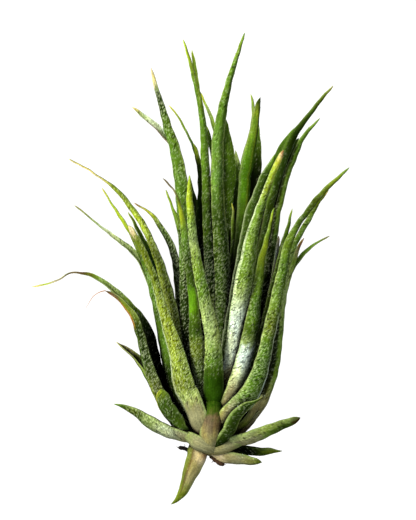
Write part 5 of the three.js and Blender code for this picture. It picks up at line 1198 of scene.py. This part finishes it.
def leaf_material(slot, roughness, dash_strength, bump):
    """A green skin with lengthwise fibres, mottling, dark pits, slanting silvery scales and painted shade
    where leaves crowd together.
    """
    material, add = new_material("air_plant_" + slot)
    tint = attribute(add, "tint", "Color")
    density = attribute(add, "scales", "Fac")
    place = attribute(add, "place", "Vector")
    fibre = stretched_noise(add, place, 2.6, 0.16, 3)
    mottle = stretched_noise(add, place, 0.55, 0.3, 4)
    warm = stretched_noise(add, place, 0.35, 0.12, 2)
    grain = stretched_noise(add, place, 3.2, 2.4, 2)
    patch = stretched_noise(add, place, 1.3, 0.7, 3)

    # The skin, yellower in patches and darkened by painted shade where other leaves are near.
    fibrous = remap(add, fibre, 0.3, 0.7, 0.8, 1.2)
    brightness = multiply(add, fibrous, remap(add, mottle, 0.3, 0.7, 0.86, 1.14))
    skin = scaled_colour(add, tint, multiply(add, brightness, painted_crevice_shade(add)))
    yellow = mix(add, 1.0, skin, WARM_TINT, blend_type="MULTIPLY")
    warmed = mix(add, remap(add, warm, 0.42, 0.68, 0, 1), skin, yellow)

    # The painted scales, with pits where one is missing.
    distance, pick = slanting_cells(add, place)
    patchy = multiply(add, density, remap(add, patch, 0.36, 0.62, 0.6, 1.15))
    present = remap(add, calculate(add, "SUBTRACT", patchy, pick["Red"]), -0.06, 0.12, 0, 1)
    speck = multiply(add, remap(add, distance, 0.2, 0.55, 1, 0), present)
    bare = calculate(add, "SUBTRACT", multiply(add, density, 0.42), pick["Blue"])
    grainy = remap(add, grain, 0.35, 0.65, 0.75, 1.15)
    pits = scaled_colour(add, warmed, multiply(add, remap(add, bare, 0.02, 0.18, 1, 0.3), grainy))
    glow = scaled_colour(add, warmed, SCALE_GLOW)
    silver = mix(add, SCALE_SILVER, glow, (*linear("scale"), 1))
    fresh = scaled_colour(add, silver, remap(add, pick["Green"], 0, 1, 0.6, 1.1))
    crowding = remap(add, density, 0.1, 0.9, 0.5, 1)
    dashed = mix(add, multiply(add, multiply(add, speck, dash_strength), crowding), pits, fresh)

    relief = calculate(add, "ADD", multiply(add, speck, 0.7), multiply(add, fibre, 0.6))
    bumped = add("Bump", {"Strength": bump, "Distance": 0.12 * MM, "Height": relief})
    surface(add, {
        "Base Color": dashed,
        "Roughness": remap(add, speck, 0, 1, roughness, roughness + 0.25),
        "Specular IOR Level": 0.0,
        "Normal": bumped.outputs["Normal"],
    })
    return material


def bark_material(slot, roughness, fine):
    """Dry brown tissue with fibres, cracks and dusty spots."""
    material, add = new_material("air_plant_" + slot)
    place = attribute(add, "place", "Vector")
    fibre = stretched_noise(add, place, 3.0, 0.7 * fine, 4)
    stain = stretched_noise(add, place, 0.5, 0.5, 3)
    fibrous = remap(add, fibre, 0.3, 0.7, 0.55, 1.3)
    brightness = multiply(add, fibrous, remap(add, stain, 0.3, 0.7, 0.7, 1.2))
    bumped = add("Bump", {"Strength": 0.6, "Distance": 0.2 * MM, "Height": fibre})
    surface(add, {
        "Base Color": scaled_colour(add, attribute(add, "tint", "Color"), brightness),
        "Roughness": remap(add, stain, 0.3, 0.7, roughness - 0.12, roughness),
        "Specular IOR Level": 0.05,
        "Normal": bumped.outputs["Normal"],
    })
    return material


def floor_material():
    """A pale matt sheet with a faint grain, lit evenly from below like a light table."""
    material, add = new_material("pale_floor")
    coordinates = add("TexCoord").outputs["Object"]
    grain = add("TexNoise", {"Vector": coordinates, "Scale": 60, "Detail": 3}).outputs["Fac"]
    surface(add, {
        "Base Color": FLOOR_COLOUR,
        "Roughness": remap(add, grain, 0.3, 0.7, 0.85, 0.95),
        "Emission Color": (1, 1, 1, 1),
        "Emission Strength": FLOOR_GLOW,
    })
    return material


# ---- the plant

materials = {slot: leaf_material(slot, *finish) for slot, finish in LEAF_FINISHES.items()}
materials["stem_brown"] = bark_material("stem_brown", 0.85, 1)
materials["root_brown"] = bark_material("root_brown", 0.9, 2)

add_piece("stem_scarred", [stem_part()], "stem_brown", "stem")
for number, leaf in enumerate(read_leaves(LEAVES)):
    node = leaf["name"]
    add_piece(node + "_blade", leaf_parts(leaf, number + 1), SLOTS[node], node)
for number, sheath in enumerate(read_leaves(SHEATHS)):
    add_piece(sheath["name"], leaf_parts(sheath, SHEATH_SEED + number), sheath["slot"][0][0])
for number, (name, root) in enumerate(ROOTS.items()):
    add_piece(name + "_stub", root_parts(root, ROOT_SEED + number), "root_brown", name)

# ---- floor, light and camera

PHOTO_CENTRE = (-0.5, 46.75, 5)  # mm from the stem's foot: what the middle of the picture shows
PHOTO_HEIGHT = 130  # mm from the picture's lower edge to its upper edge there
SENSOR = 36  # mm
CAMERA_DISTANCE = 2.5
FAR_CLIP = 20
FLOOR_SIZE = 3
FLOOR_COLOUR = (0.12, 0.12, 0.12, 1)
FLOOR_GLOW = 0.86
WORLD_STRENGTH = 3.0
KEY_PLACE = (-0.62, 0.4, 0.62)
KEY_SIZE = 0.35
KEY_POWER = 100
KEY_COLOUR = (1, 0.93, 0.8)
plant_middle = (np.array(PHOTO_CENTRE) + FOOT) * MM


def add_floor():
    half = FLOOR_SIZE / 2
    corners = [(-half, -half, 0), (half, -half, 0), (half, half, 0), (-half, half, 0)]
    mesh = bpy.data.meshes.new("floor")
    mesh.from_pydata(corners, [], [(0, 1, 2, 3)])
    mesh.materials.append(floor_material())
    floor = bpy.data.objects.new("floor", mesh)
    bpy.context.scene.collection.objects.link(floor)


def add_key_light():
    """A soft lamp that lights the plant and leaves the pale floor to the even light round it."""
    lamp = bpy.data.lights.new("key_light", "AREA")
    lamp.size = KEY_SIZE
    lamp.energy = KEY_POWER
    lamp.color = KEY_COLOUR
    light = bpy.data.objects.new("key_light", lamp)
    light.light_linking.receiver_collection = plant
    light.location = KEY_PLACE
    aim = plant_middle - np.array(KEY_PLACE)
    flat = math.hypot(aim[0], aim[1])
    light.rotation_euler = (math.atan2(flat, -aim[2]), 0, math.atan2(-aim[0], aim[1]))
    bpy.context.scene.collection.objects.link(light)


def add_world():
    world = bpy.data.worlds.new("soft_studio")
    world.use_nodes = True
    background = world.node_tree.nodes["Background"]
    background.inputs["Color"].default_value = (1, 1, 1, 1)
    background.inputs["Strength"].default_value = WORLD_STRENGTH
    bpy.context.scene.world = world


def add_camera():
    camera = bpy.data.cameras.new("camera")
    camera.sensor_width = SENSOR
    camera.lens = SENSOR * CAMERA_DISTANCE / (PHOTO_HEIGHT * MM)
    camera.clip_end = FAR_CLIP
    view = bpy.data.objects.new("camera", camera)
    view.location = (plant_middle[0], plant_middle[1], plant_middle[2] + CAMERA_DISTANCE)
    bpy.context.scene.collection.objects.link(view)
    bpy.context.scene.camera = view


add_floor()
add_key_light()
add_world()
add_camera()
bpy.context.scene.view_settings.view_transform = "Standard"
